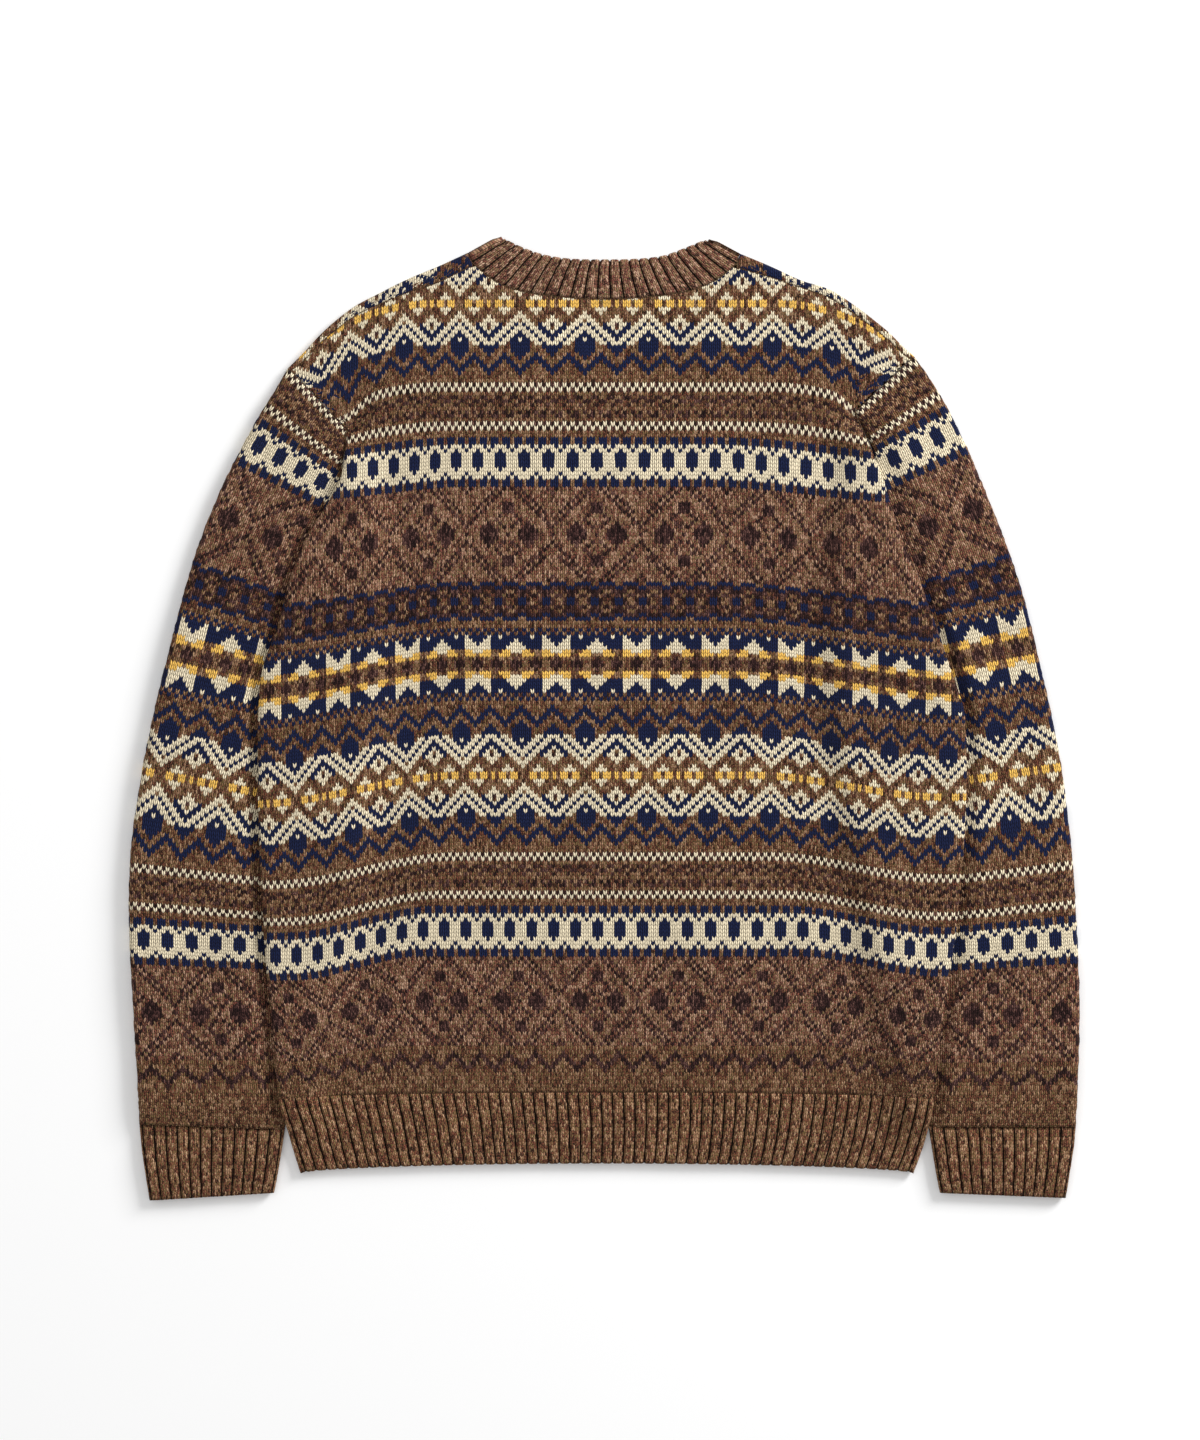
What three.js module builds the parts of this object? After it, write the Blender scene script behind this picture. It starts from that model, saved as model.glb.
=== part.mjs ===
// Fair Isle jumper, laid flat on its front with its back up and both sleeves brought down beside it.
// Millimetres. X runs across the body, Y from the hem to the collar, Z up from the surface below.
// Left and right are the wearer's, which are also the left and right seen from above.
import * as THREE from "three";

const { lerp, smoothstep } = THREE.MathUtils;

// Knitting
const WALL = 3; // one layer of knitted cloth
const SEAM = 0.3; // gap between two sewn edges, and between two layers
const FOLD_ROUND = 3; // radius along a side edge
const FOLD_LIP = 0.8; // wall left at the very edge of a side seam
const SEAM_DIP = 0.9; // how far a wall sinks beside a seam
const SHOULDER_STEP = WALL + SEAM; // rise where the front rolls over the shoulder
const ROLL_SLOPE = 0.1; // lean of the roll's edge beside the shoulder seam
const NECK_BORDER = 6; // strip of the front beside its neck seam
const NECK_CORNER_X = 106.5; // the shoulder roll starts here

// Ribs, raised over a plain inside
const RIB_GROOVE = 1; // depth of the valley between two ribs
const HEM_RIBS = 58; // across the back
const CUFF_RIBS = 13; // across one side of a cuff
const COLLAR_RIBS = 22; // across the back of the neck
const RIB_POINTS = 3; // valley, then two points on the ridge

// Body
const HEM_SEAM_Y = -300; // side of the seam between panel and hem rib
const HEM_SEAM_RISE = 5; // the seam lies this much higher at the middle
const HEM_EDGE_Y = -359; // side of the lower edge
const HEM_EDGE_RISE = 8;
const SLEEVE_HEIGHT = 8; // two layers and the roundness of the folds
const BODY_RAMP = 30; // width over which the body climbs onto a sleeve
const RAMP_LEAD = 9; // the climb ends this far before the fold of the sleeve
const LIFT_FADE_TOP = 29; // length below the armhole corner over which that climb starts
const LIFT_FADE_HEM = [-345, -305]; // and where it ends, beside the hem
const CREASE = { x: 194, y: 238, halfWidth: 7, halfLength: 26, depth: 1.2 };

// Side edge of the body, as a distance from the middle line
const SIDE_EDGE = [
  { y: -359, left: 239, right: 243 },
  { y: -340, left: 245, right: 250 },
  { y: -325, left: 249, right: 254 },
  { y: -300, left: 256, right: 259 },
  { y: -254, left: 260, right: 263 },
  { y: -190, left: 266, right: 273 },
  { y: -100, left: 271, right: 282 },
  { y: 0, left: 272, right: 283 },
  { y: 40, left: 268, right: 271 },
  { y: 70, left: 257, right: 261 },
  { y: 105, left: 248, right: 248 },
  { y: 141, left: 234, right: 233 },
  { y: 170, left: 216, right: 224 },
  { y: 192, left: 206, right: 217 },
];

// Where the armhole seam comes out from under the side edge, and where it ends on the shoulder
const ARMHOLE = {
  left: { corner: [-203, 226], tip: [-249, 275] },
  right: { corner: [197, 240], tip: [244, 284] },
};

// Height of the outline over the shoulders, and of the shoulder seam that lies on the back
const SHOULDER = [
  { x: 107, outlineLeft: 366, outlineRight: 365, seamLeft: 354, seamRight: 353 },
  { x: 131, outlineLeft: 355, outlineRight: 355, seamLeft: 342, seamRight: 346 },
  { x: 155, outlineLeft: 345, outlineRight: 344, seamLeft: 334, seamRight: 338 },
  { x: 177, outlineLeft: 334, outlineRight: 337, seamLeft: 325, seamRight: 330 },
  { x: 196, outlineLeft: 324, outlineRight: 325, seamLeft: 316, seamRight: 318 },
  { x: 212, outlineLeft: 312, outlineRight: 313, seamLeft: 304, seamRight: 306 },
  { x: 224, outlineLeft: 301, outlineRight: 303, seamLeft: 294, seamRight: 296 },
  { x: 236, outlineLeft: 288, outlineRight: 291, seamLeft: 281, seamRight: 285 },
];

// The collar: its seam with the body and its free edge, from the left fold to the right fold
const BACK_COLLAR = [
  { seamX: -107, seamY: 366, edgeX: -82, edgeY: 380 },
  { seamX: -103.5, seamY: 357.5, edgeX: -78, edgeY: 376 },
  { seamX: -89, seamY: 345, edgeX: -63, edgeY: 369 },
  { seamX: -68, seamY: 336, edgeX: -46, edgeY: 363.5 },
  { seamX: -36, seamY: 331, edgeX: -25, edgeY: 360.5 },
  { seamX: 0, seamY: 329, edgeX: 0, edgeY: 360 },
  { seamX: 36, seamY: 331, edgeX: 25, edgeY: 360.5 },
  { seamX: 68, seamY: 336, edgeX: 46, edgeY: 363 },
  { seamX: 89, seamY: 345, edgeX: 63, edgeY: 369 },
  { seamX: 103.5, seamY: 356.5, edgeX: 78, edgeY: 375 },
  { seamX: 107, seamY: 365, edgeX: 83, edgeY: 378 },
];
const FRONT_COLLAR = [
  { seamX: -107, seamY: 366, edgeX: -82, edgeY: 380 },
  { seamX: -103, seamY: 340, edgeX: -77, edgeY: 352 },
  { seamX: -88, seamY: 311, edgeX: -66, edgeY: 331 },
  { seamX: -60, seamY: 287, edgeX: -45, edgeY: 313 },
  { seamX: 0, seamY: 271, edgeX: 0, edgeY: 301 },
  { seamX: 60, seamY: 287, edgeX: 45, edgeY: 313 },
  { seamX: 88, seamY: 311, edgeX: 66, edgeY: 331 },
  { seamX: 103, seamY: 340, edgeX: 77, edgeY: 352 },
  { seamX: 107, seamY: 365, edgeX: 83, edgeY: 378 },
];

// Sleeve sections along the knitted courses: outer fold, inner fold and height, from the armhole down
const LEFT_SLEEVE = [
  { outerX: -249, outerY: 275, innerX: -203, innerY: 226, height: 6.6 },
  { outerX: -258, outerY: 260, innerX: -206.7, innerY: 198, height: 7 },
  { outerX: -269, outerY: 242, innerX: -204, innerY: 172, height: 7.6 },
  { outerX: -287, outerY: 210, innerX: -199, innerY: 140, height: 8 },
  { outerX: -303, outerY: 177, innerX: -197, innerY: 103, height: 8 },
  { outerX: -318, outerY: 140, innerX: -197, innerY: 68, height: 8 },
  { outerX: -331, outerY: 98, innerX: -198, innerY: 34, height: 8 },
  { outerX: -343, outerY: 52, innerX: -201, innerY: -8, height: 8 },
  { outerX: -355, outerY: 2, innerX: -206, innerY: -45, height: 8 },
  { outerX: -365, outerY: -48, innerX: -211, innerY: -88, height: 8 },
  { outerX: -373, outerY: -108, innerX: -218, innerY: -131, height: 8 },
  { outerX: -374, outerY: -168, innerX: -226, innerY: -176, height: 8 },
  { outerX: -371, outerY: -228, innerX: -235, innerY: -231, height: 8 },
  { outerX: -368, outerY: -280, innerX: -245, innerY: -281, height: 8 },
  { outerX: -366, outerY: -320, innerX: -251.5, innerY: -324, height: 7.4 },
];
const RIGHT_SLEEVE = [
  { outerX: 244, outerY: 284, innerX: 197, innerY: 240, height: 6.6 },
  { outerX: 258, outerY: 264, innerX: 211.5, innerY: 210, height: 7 },
  { outerX: 273, outerY: 238, innerX: 210, innerY: 184, height: 7.6 },
  { outerX: 289, outerY: 204, innerX: 204, innerY: 148, height: 8 },
  { outerX: 303, outerY: 170, innerX: 200, innerY: 106, height: 8 },
  { outerX: 316, outerY: 137, innerX: 199, innerY: 70, height: 8 },
  { outerX: 329, outerY: 98, innerX: 199, innerY: 36, height: 8 },
  { outerX: 341, outerY: 50, innerX: 202, innerY: -6, height: 8 },
  { outerX: 352, outerY: 2, innerX: 207, innerY: -44, height: 8 },
  { outerX: 361, outerY: -48, innerX: 213, innerY: -86, height: 8 },
  { outerX: 368, outerY: -108, innerX: 221, innerY: -130, height: 8 },
  { outerX: 372, outerY: -168, innerX: 230, innerY: -176, height: 8 },
  { outerX: 374, outerY: -228, innerX: 239, innerY: -231, height: 8 },
  { outerX: 373, outerY: -280, innerX: 249, innerY: -281, height: 8 },
  { outerX: 371, outerY: -322, innerX: 255, innerY: -322, height: 7.4 },
];

// Cuff sections, from the sleeve to the free edge
const LEFT_CUFF = [
  { outerX: -366, outerY: -320, innerX: -251.5, innerY: -324, height: 7.4 },
  { outerX: -364, outerY: -340, innerX: -254, innerY: -341, height: 8.6 },
  { outerX: -361, outerY: -361, innerX: -257, innerY: -359, height: 8.6 },
  { outerX: -358, outerY: -380, innerX: -260, innerY: -374, height: 7.4 },
];
const RIGHT_CUFF = [
  { outerX: 371, outerY: -322, innerX: 255, innerY: -322, height: 7.4 },
  { outerX: 369, outerY: -341, innerX: 258, innerY: -341, height: 8.6 },
  { outerX: 366, outerY: -360, innerX: 261, innerY: -359, height: 8.6 },
  { outerX: 363, outerY: -378, innerX: 264, innerY: -374, height: 7.4 },
];

// Grid lines of the panels, as fractions from the side edge to the middle and from the hem up
const COLUMNS = [0, 0.01, 0.03, 0.075, 0.12, 0.17, 0.22, 0.28, 0.36, 0.46];
const BACK_NECK_COLUMNS = [-0.3, 3, 12, 24, 44, 70]; // distances inside the neck corners
const FRONT_NECK_COLUMNS = [-0.3, 0.3, 3.5, 18.5, 46.5];
const CORNER_ROW = 0.905; // row at the armhole corner
const BODY_ROWS = [
  0, 0.006, 0.02, 0.08, 0.15, 0.22, 0.3, 0.38, 0.46, 0.53, 0.59, 0.64,
  0.69, 0.735, 0.775, 0.815, 0.85, 0.88, CORNER_ROW, 0.935, 0.97, 0.994, 1,
];
const SHOULDER_ROWS = [0, 0, 0.5, 0.82, 1]; // from the shoulder seam to the outline
const HEM_ROWS = [0, 0.4, 1];
const COLLAR_ROWS = [1, 0.5, 0]; // from the free edge to the seam
const LOWER_SPANS = 4; // across the lower side of a sleeve
const UPPER_SPANS = 8; // and across its upper side
const FOLD_STEPS = 4; // around half a fold

// Smooth value of one column of a table, where another column has the value `at`
function readTable(rows, by, out, at) {
  const last = rows.length - 1;
  if (at <= rows[0][by]) return rows[0][out];
  if (at >= rows[last][by]) return rows[last][out];
  const k = rows.findIndex((row, i) => at <= rows[i + 1][by]);
  const before = rows[Math.max(k - 1, 0)];
  const from = rows[k];
  const to = rows[k + 1];
  const after = rows[Math.min(k + 2, last)];
  const span = to[by] - from[by];
  const slopeFrom = (to[out] - before[out]) / (to[by] - before[by]);
  const slopeTo = (after[out] - from[out]) / (after[by] - from[by]);
  const t = (at - from[by]) / span;
  const start = (1 + 2 * t) * (1 - t) * (1 - t) * from[out];
  const end = t * t * (3 - 2 * t) * to[out];
  return start + end + span * t * (1 - t) * ((1 - t) * slopeFrom - t * slopeTo);
}

function mixPoints(a, b, t) {
  return [lerp(a[0], b[0], t), lerp(a[1], b[1], t)];
}

function moved(point, toward, distance) {
  const length = Math.hypot(toward[0], toward[1]);
  return [point[0] + (toward[0] / length) * distance, point[1] + (toward[1] / length) * distance];
}

function minus(a, b) {
  return [a[0] - b[0], a[1] - b[1]];
}

// One closed body from its faces, each a loop of 3 or 4 points seen anticlockwise from outside
function meshFromFaces(name, faces, color) {
  const positions = [];
  for (const face of faces) {
    for (let i = 1; i + 1 < face.length; i++) positions.push(...face[0], ...face[i], ...face[i + 1]);
  }
  const geometry = new THREE.BufferGeometry();
  geometry.setAttribute("position", new THREE.Float32BufferAttribute(positions, 3));
  geometry.computeVertexNormals();
  const material = new THREE.MeshStandardMaterial({ color, roughness: 0.95, metalness: 0 });
  const mesh = new THREE.Mesh(geometry, material);
  mesh.name = name;
  return mesh;
}

// A sheet between a lower and an upper surface: rows of { x, y, low, high }
function sheetMesh(name, rows, color) {
  const faces = [];
  const high = (p) => [p.x, p.y, p.high];
  const low = (p) => [p.x, p.y, p.low];
  const lastRow = rows.length - 1;
  const lastColumn = rows[0].length - 1;
  for (let j = 0; j < lastRow; j++) {
    for (let i = 0; i < lastColumn; i++) {
      const [a, b, c, d] = [rows[j][i], rows[j][i + 1], rows[j + 1][i + 1], rows[j + 1][i]];
      faces.push([high(a), high(b), high(c), high(d)], [low(c), low(b), low(a), low(d)]);
    }
  }
  const edge = (a, b) => faces.push([low(a), low(b), high(b), high(a)]);
  for (let i = 0; i < lastColumn; i++) {
    edge(rows[0][i], rows[0][i + 1]);
    edge(rows[lastRow][i + 1], rows[lastRow][i]);
  }
  for (let j = 0; j < lastRow; j++) {
    edge(rows[j][lastColumn], rows[j + 1][lastColumn]);
    edge(rows[j + 1][0], rows[j][0]);
  }
  return meshFromFaces(name, faces, color);
}

// An open tube from its rings of { outer, inner } point loops, each loop seen anticlockwise
// from where the tube ends
function tubeMesh(name, rings, color) {
  const faces = [];
  const size = rings[0].outer.length;
  for (let k = 0; k + 1 < rings.length; k++) {
    const [near, far] = [rings[k], rings[k + 1]];
    for (let i = 0; i < size; i++) {
      const n = (i + 1) % size;
      faces.push([near.outer[i], near.outer[n], far.outer[n], far.outer[i]]);
      faces.push([near.inner[n], near.inner[i], far.inner[i], far.inner[n]]);
    }
  }
  const [first, last] = [rings[0], rings.at(-1)];
  for (let i = 0; i < size; i++) {
    const n = (i + 1) % size;
    faces.push([first.outer[n], first.outer[i], first.inner[i], first.inner[n]]);
    faces.push([last.outer[i], last.outer[n], last.inner[n], last.inner[i]]);
  }
  return meshFromFaces(name, faces, color);
}

// Depth of the valley at point i of a ribbed line
function ribDepth(i) {
  return i % RIB_POINTS === 0 ? RIB_GROOVE : 0;
}

// Where the armhole seam meets a sleeve's first section
function sewnRow(row, side) {
  const { corner, tip } = ARMHOLE[side];
  const along = minus(tip, corner);
  const outward = side === "left" ? [-along[1], along[0]] : [along[1], -along[0]];
  const outer = moved(tip, outward, SEAM);
  const inner = moved(corner, outward, SEAM);
  return { ...row, outerX: outer[0], outerY: outer[1], innerX: inner[0], innerY: inner[1] };
}

// Body height: it lies on the surface in the middle and on the sleeves at both sides
function lift(x, y) {
  const side = x < 0 ? "left" : "right";
  const sleeve = side === "left" ? LEFT_SLEEVE : RIGHT_SLEEVE;
  const rising = [...sleeve].reverse();
  const fold = Math.abs(readTable(rising, "innerY", "innerX", y));
  const across = smoothstep(Math.abs(x), fold - RAMP_LEAD - BODY_RAMP, fold - RAMP_LEAD);
  const cornerY = ARMHOLE[side].corner[1];
  const top = 1 - smoothstep(y, cornerY - LIFT_FADE_TOP, cornerY);
  const hem = smoothstep(y, LIFT_FADE_HEM[0], LIFT_FADE_HEM[1]);
  return (SLEEVE_HEIGHT + SEAM) * across * top * hem;
}

// Soft trough in the back beside each armhole
function creaseDepth(x, y) {
  const across = (Math.abs(x) - CREASE.x) / CREASE.halfWidth;
  const along = (y - CREASE.y) / CREASE.halfLength;
  return CREASE.depth * Math.exp(-across * across - along * along);
}

// Point of the body's side or armhole edge, at fraction v of the way up from the hem seam
function sidePoint(side, v, tip = ARMHOLE[side].tip) {
  const { corner } = ARMHOLE[side];
  if (v >= CORNER_ROW) return mixPoints(corner, tip, (v - CORNER_ROW) / (1 - CORNER_ROW));
  const y = lerp(HEM_SEAM_Y, corner[1], v / CORNER_ROW);
  const rows = [...SIDE_EDGE, { y: corner[1], [side]: Math.abs(corner[0]) }];
  const x = readTable(rows, "y", side, y);
  return [side === "left" ? -x : x, y];
}

// Arch of the hem: it bends up quickly near the sides and is flat in the middle
function hemArch(u) {
  return Math.sqrt(Math.sin(Math.PI * u));
}

function hemSeamPoint(u) {
  const x = lerp(sidePoint("left", 0)[0], sidePoint("right", 0)[0], u);
  return [x, HEM_SEAM_Y + HEM_SEAM_RISE * hemArch(u)];
}

// Grid point between the four edges of a panel: u across from left to right, v up from the hem seam
function panelPoint(u, v, top) {
  const left = sidePoint("left", v, top(0));
  const right = sidePoint("right", v, top(1));
  const low = hemSeamPoint(u);
  const high = top(u);
  const [lowLeft, lowRight, highLeft, highRight] = [hemSeamPoint(0), hemSeamPoint(1), top(0), top(1)];
  return [0, 1].map((axis) => {
    const across = lerp(left[axis], right[axis], u);
    const along = lerp(low[axis], high[axis], v);
    const lowCorner = lerp(lowLeft[axis], lowRight[axis], u);
    const highCorner = lerp(highLeft[axis], highRight[axis], u);
    return across + along - lerp(lowCorner, highCorner, v);
  });
}

// End of the shoulder seam, a little below the tip on the armhole seam
function seamEnd(side) {
  const { corner, tip } = ARMHOLE[side];
  return moved(tip, minus(corner, tip), SHOULDER_STEP);
}

// Height of a shoulder line, its outline or its seam, down to the given end
function shoulderY(x, line, end) {
  const side = x < 0 ? "Left" : "Right";
  const rows = [...SHOULDER, { x: Math.abs(end[0]), [line + side]: end[1] }];
  return readTable(rows, "x", line + side, Math.abs(x));
}

// Top edge of a layer: shoulder seam, neck, shoulder seam. The front ends lower at the neck
function topPoint(u, layer) {
  const [left, right] = [seamEnd("left"), seamEnd("right")];
  const x = lerp(left[0], right[0], u);
  if (layer === "back" && Math.abs(x) < BACK_COLLAR.at(-2).seamX) {
    return [x, readTable(BACK_COLLAR.slice(1, -1), "seamX", "seamY", x) - SEAM];
  }
  if (layer === "front" && !isRolled(x)) return [x, frontNeckY(x) - NECK_BORDER];
  return [x, shoulderY(x, "seam", x < 0 ? left : right)];
}

// Beside the neck the front rolls over the shoulder
function isRolled(x) {
  return Math.abs(x) > NECK_CORNER_X;
}

function frontNeckY(x) {
  return readTable(FRONT_COLLAR, "seamX", "seamY", x) - SEAM;
}

// Outer edge of the front: the outline over the shoulders, or the front neck
function frontEdge(u, x) {
  if (u === 0) return ARMHOLE.left.tip;
  if (u === 1) return ARMHOLE.right.tip;
  if (!isRolled(x)) return [x, frontNeckY(x)];
  return [x, shoulderY(x, "outline", x < 0 ? ARMHOLE.left.tip : ARMHOLE.right.tip)];
}

// How far a wall sinks at a distance from an edge: round at a fold, slight at a seam
function foldDrop(distance) {
  const inside = Math.max(0, FOLD_ROUND - distance);
  return FOLD_ROUND - Math.sqrt(Math.max(FOLD_ROUND ** 2 - inside ** 2, FOLD_LIP ** 2));
}

function seamDrop(distance) {
  return SEAM_DIP * Math.max(0, 1 - distance / FOLD_ROUND) ** 2;
}

// Drop beside the side edge or armhole, and beside the hem seam
function edgeDrop(point, u, v) {
  const side = u < 0.5 ? "left" : "right";
  const edge = sidePoint(side, v);
  const distance = Math.abs(point[0] - edge[0]);
  const besideEdge = v > CORNER_ROW ? seamDrop(distance) : foldDrop(distance);
  const besideHem = seamDrop(Math.abs(point[1] - hemSeamPoint(u)[1]));
  return Math.max(besideEdge, besideHem);
}

// Grid columns of both panels, with close ones beside the neck corners
function bodyColumns(neckColumns) {
  const width = seamEnd("right")[0] - seamEnd("left")[0];
  const middle = -seamEnd("left")[0] / width;
  const besideNeck = neckColumns.map((inside) => (NECK_CORNER_X - inside) / width);
  const left = COLUMNS.map((share) => middle * share);
  const right = COLUMNS.map((share) => 1 - (1 - middle) * share);
  const neck = besideNeck.flatMap((half) => [middle - half, middle + half]);
  return [...left, ...neck, middle, ...right].sort((p, q) => p - q);
}

function backPanel() {
  const top = (u) => topPoint(u, "back");
  const rows = BODY_ROWS.map((v) =>
    bodyColumns(BACK_NECK_COLUMNS).map((u) => {
      const point = panelPoint(u, v, top);
      const [x, y] = point;
      const low = lift(x, y) + SHOULDER_STEP;
      const besideTop = seamDrop((1 - v) * (top(u)[1] - HEM_SEAM_Y));
      const high = low + WALL - Math.max(edgeDrop(point, u, v), besideTop) - creaseDepth(x, y);
      return { x, y, low, high };
    }),
  );
  return sheetMesh("back_panel", rows, "#6f5540");
}

function frontPanel() {
  const columns = bodyColumns(FRONT_NECK_COLUMNS);
  const top = (u) => topPoint(u, "front");
  const rows = BODY_ROWS.map((v) =>
    columns.map((u) => {
      const point = panelPoint(u, v, top);
      const [x, y] = point;
      const floor = lift(x, y);
      return { x, y, low: floor + (v > CORNER_ROW ? 0 : edgeDrop(point, u, v)), high: floor + WALL };
    }),
  );
  for (const [index, share] of SHOULDER_ROWS.entries()) {
    rows.push(columns.map((u) => shoulderPoint(u, top(u), share, index)));
  }
  return sheetMesh("front_panel", rows, "#5f4937");
}

// Point of the front between the shoulder seam and the outline, or between the neck border and the neck
function shoulderPoint(u, from, share, index) {
  const edge = frontEdge(u, from[0]);
  const start = moved(from, minus(edge, from), SEAM + ROLL_SLOPE * (index + 1));
  const [x, y] = mixPoints(start, edge, share);
  const distance = Math.hypot(x - edge[0], y - edge[1]);
  if (!isRolled(from[0])) return { x, y, low: 0, high: WALL - seamDrop(distance) };
  const round = foldDrop(distance);
  const high = index === 0 ? WALL : SHOULDER_STEP + WALL - round;
  return { x, y, low: round, high };
}

// Plan point of the hem rib: u across, t down from the seam
function hemPoint(u, t) {
  const sideY = lerp(HEM_SEAM_Y, HEM_EDGE_Y, t);
  const left = -readTable(SIDE_EDGE, "y", "left", sideY);
  const right = readTable(SIDE_EDGE, "y", "right", sideY);
  const edgeY = HEM_EDGE_Y + HEM_EDGE_RISE * hemArch(u);
  return { x: lerp(left, right, u), y: lerp(hemSeamPoint(u)[1], edgeY, t), left, right };
}

// Lift of the hem rib, straight between one rib and the next
function hemLift(i, t) {
  const rib = Math.min(Math.floor(i / RIB_POINTS), HEM_RIBS - 1);
  const [from, to] = [hemPoint(rib / HEM_RIBS, t), hemPoint((rib + 1) / HEM_RIBS, t)];
  return lerp(lift(from.x, from.y), lift(to.x, to.y), i / RIB_POINTS - rib);
}

// The hem rib of the back is ribbed on top, and the one of the front below it is plain
function hemRib(name, ribbed, color) {
  const step = ribbed ? 1 : RIB_POINTS;
  const gap = SEAM / (HEM_SEAM_Y - HEM_EDGE_Y);
  const rows = [...HEM_ROWS].reverse().map((share) => {
    const t = lerp(gap, 1, share);
    const line = [];
    for (let i = 0; i <= HEM_RIBS * RIB_POINTS; i += step) {
      const { x, y, left, right } = hemPoint(i / (HEM_RIBS * RIB_POINTS), t);
      const floor = hemLift(i, t) + (ribbed ? SHOULDER_STEP + SEAM : 0);
      const round = foldDrop(Math.min(x - left, right - x));
      const drop = ribbed ? Math.max(round, ribDepth(i), isEndRow(share) ? SEAM_DIP / 2 : 0) : 0;
      line.push({ x, y, low: floor + (ribbed ? 0 : round), high: floor + WALL - drop });
    }
    return line;
  });
  return sheetMesh(name, rows, color);
}

function isEndRow(share) {
  return share === 0 || share === 1;
}

// Half turn of a fold, from the lower layer up to the upper one
function foldArc(center, outward, middle, radius) {
  const points = [];
  for (let i = 0; i <= FOLD_STEPS; i++) {
    const angle = -Math.PI / 2 + (Math.PI * i) / FOLD_STEPS;
    const [x, y] = moved(center, outward, radius * Math.cos(angle));
    points.push([x, y, middle + radius * Math.sin(angle)]);
  }
  return points;
}

// Flattened ring: lower line from a to b, fold at b, upper line back to a, fold at a
function flatRing({ lower, upper, outA, outB, height, valley = () => 0 }) {
  const radius = height / 2;
  const loop = (wall, depth) => [
    ...lower.map(([x, y]) => [x, y, wall]),
    ...foldArc(lower.at(-1), outB, radius, radius - wall).slice(1, -1),
    ...upper.map(([x, y], i) => [x, y, height - wall - depth(i)]),
    ...foldArc(upper.at(-1), outA, radius, radius - wall).slice(1, -1).reverse(),
  ];
  return { outer: loop(0, valley), inner: loop(WALL, () => 0) };
}

function straightLine(a, b, count) {
  return Array.from({ length: count + 1 }, (_, i) => mixPoints(a, b, i / count));
}

// Ring of a sleeve or cuff between its two folds, its lower side resting flat
function sleeveRing(row, upperCount, ribbed) {
  const outer = [row.outerX, row.outerY];
  const inner = [row.innerX, row.innerY];
  const [a, b] = outer[0] < inner[0] ? [outer, inner] : [inner, outer];
  const outB = minus(b, a);
  const outA = minus(a, b);
  const from = moved(a, outB, row.height / 2);
  const to = moved(b, outA, row.height / 2);
  return flatRing({
    lower: straightLine(from, to, LOWER_SPANS),
    upper: straightLine(to, from, upperCount),
    outA,
    outB,
    height: row.height,
    valley: ribbed ? ribDepth : undefined,
  });
}

function sleeve(name, rows, side, color) {
  const sewn = [sewnRow(rows[0], side), ...rows.slice(1)];
  return tubeMesh(name, sewn.map((row) => sleeveRing(row, UPPER_SPANS, false)), color);
}

function cuff(name, rows, color) {
  const lowered = { ...rows[0], outerY: rows[0].outerY - SEAM, innerY: rows[0].innerY - SEAM };
  const sewn = [lowered, ...rows.slice(1)];
  return tubeMesh(name, sewn.map((row) => sleeveRing(row, CUFF_RIBS * RIB_POINTS, true)), color);
}

// Direction out of the collar's fold at one end of its table, level and square to the fold
function collarOutward(row) {
  const fold = minus([row.edgeX, row.edgeY], [row.seamX, row.seamY]);
  return row.seamX < 0 ? [-fold[1], fold[0]] : [fold[1], -fold[0]];
}

// Collar ring at a share of the band's width, from the seam to the free edge
function collarRing(share) {
  const height = WALL * 2 + SEAM;
  const [first, last] = [BACK_COLLAR[0], BACK_COLLAR.at(-1)];
  const bandWidth = Math.hypot(first.edgeX - first.seamX, first.edgeY - first.seamY);
  const across = lerp((SEAM * 2) / bandWidth, 1, share);
  const place = (row) => mixPoints([row.seamX, row.seamY], [row.edgeX, row.edgeY], across);
  const [outA, outB] = [collarOutward(first), collarOutward(last)];
  const from = moved(place(first), outA, -height / 2);
  const to = moved(place(last), outB, -height / 2);
  const line = [to, ...BACK_COLLAR.slice(1, -1).map(place).reverse(), from];
  const curve = new THREE.SplineCurve(line.map(([x, y]) => new THREE.Vector2(x, y)));
  const count = COLLAR_RIBS * RIB_POINTS;
  return flatRing({
    lower: [from, ...FRONT_COLLAR.slice(1, -1).map(place), to],
    upper: curve.getSpacedPoints(count).map((point) => [point.x, point.y]),
    outA,
    outB,
    height,
    valley: (i) => (i === 0 || i === count ? 0 : ribDepth(i)),
  });
}

function collar(name, color) {
  return tubeMesh(name, COLLAR_ROWS.map(collarRing), color);
}

const jumper = new THREE.Group();
jumper.add(
  backPanel(),
  frontPanel(),
  sleeve("left_sleeve", LEFT_SLEEVE, "left", "#74593f"),
  sleeve("right_sleeve", RIGHT_SLEEVE, "right", "#74593f"),
  cuff("left_cuff", LEFT_CUFF, "#66503b"),
  cuff("right_cuff", RIGHT_CUFF, "#66503b"),
  hemRib("back_hem_rib", true, "#66503b"),
  hemRib("front_hem_rib", false, "#5f4937"),
  collar("collar", "#66503b"),
);

export default jumper;
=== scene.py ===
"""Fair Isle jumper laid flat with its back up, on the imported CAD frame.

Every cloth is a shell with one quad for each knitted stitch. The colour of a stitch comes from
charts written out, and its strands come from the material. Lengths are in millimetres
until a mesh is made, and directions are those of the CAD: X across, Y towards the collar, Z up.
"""
import logging  # noqa: E402
import math  # noqa: E402
from dataclasses import dataclass, field  # noqa: E402
from enum import Enum  # noqa: E402
from typing import Callable, Sequence, Union  # noqa: E402

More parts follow.
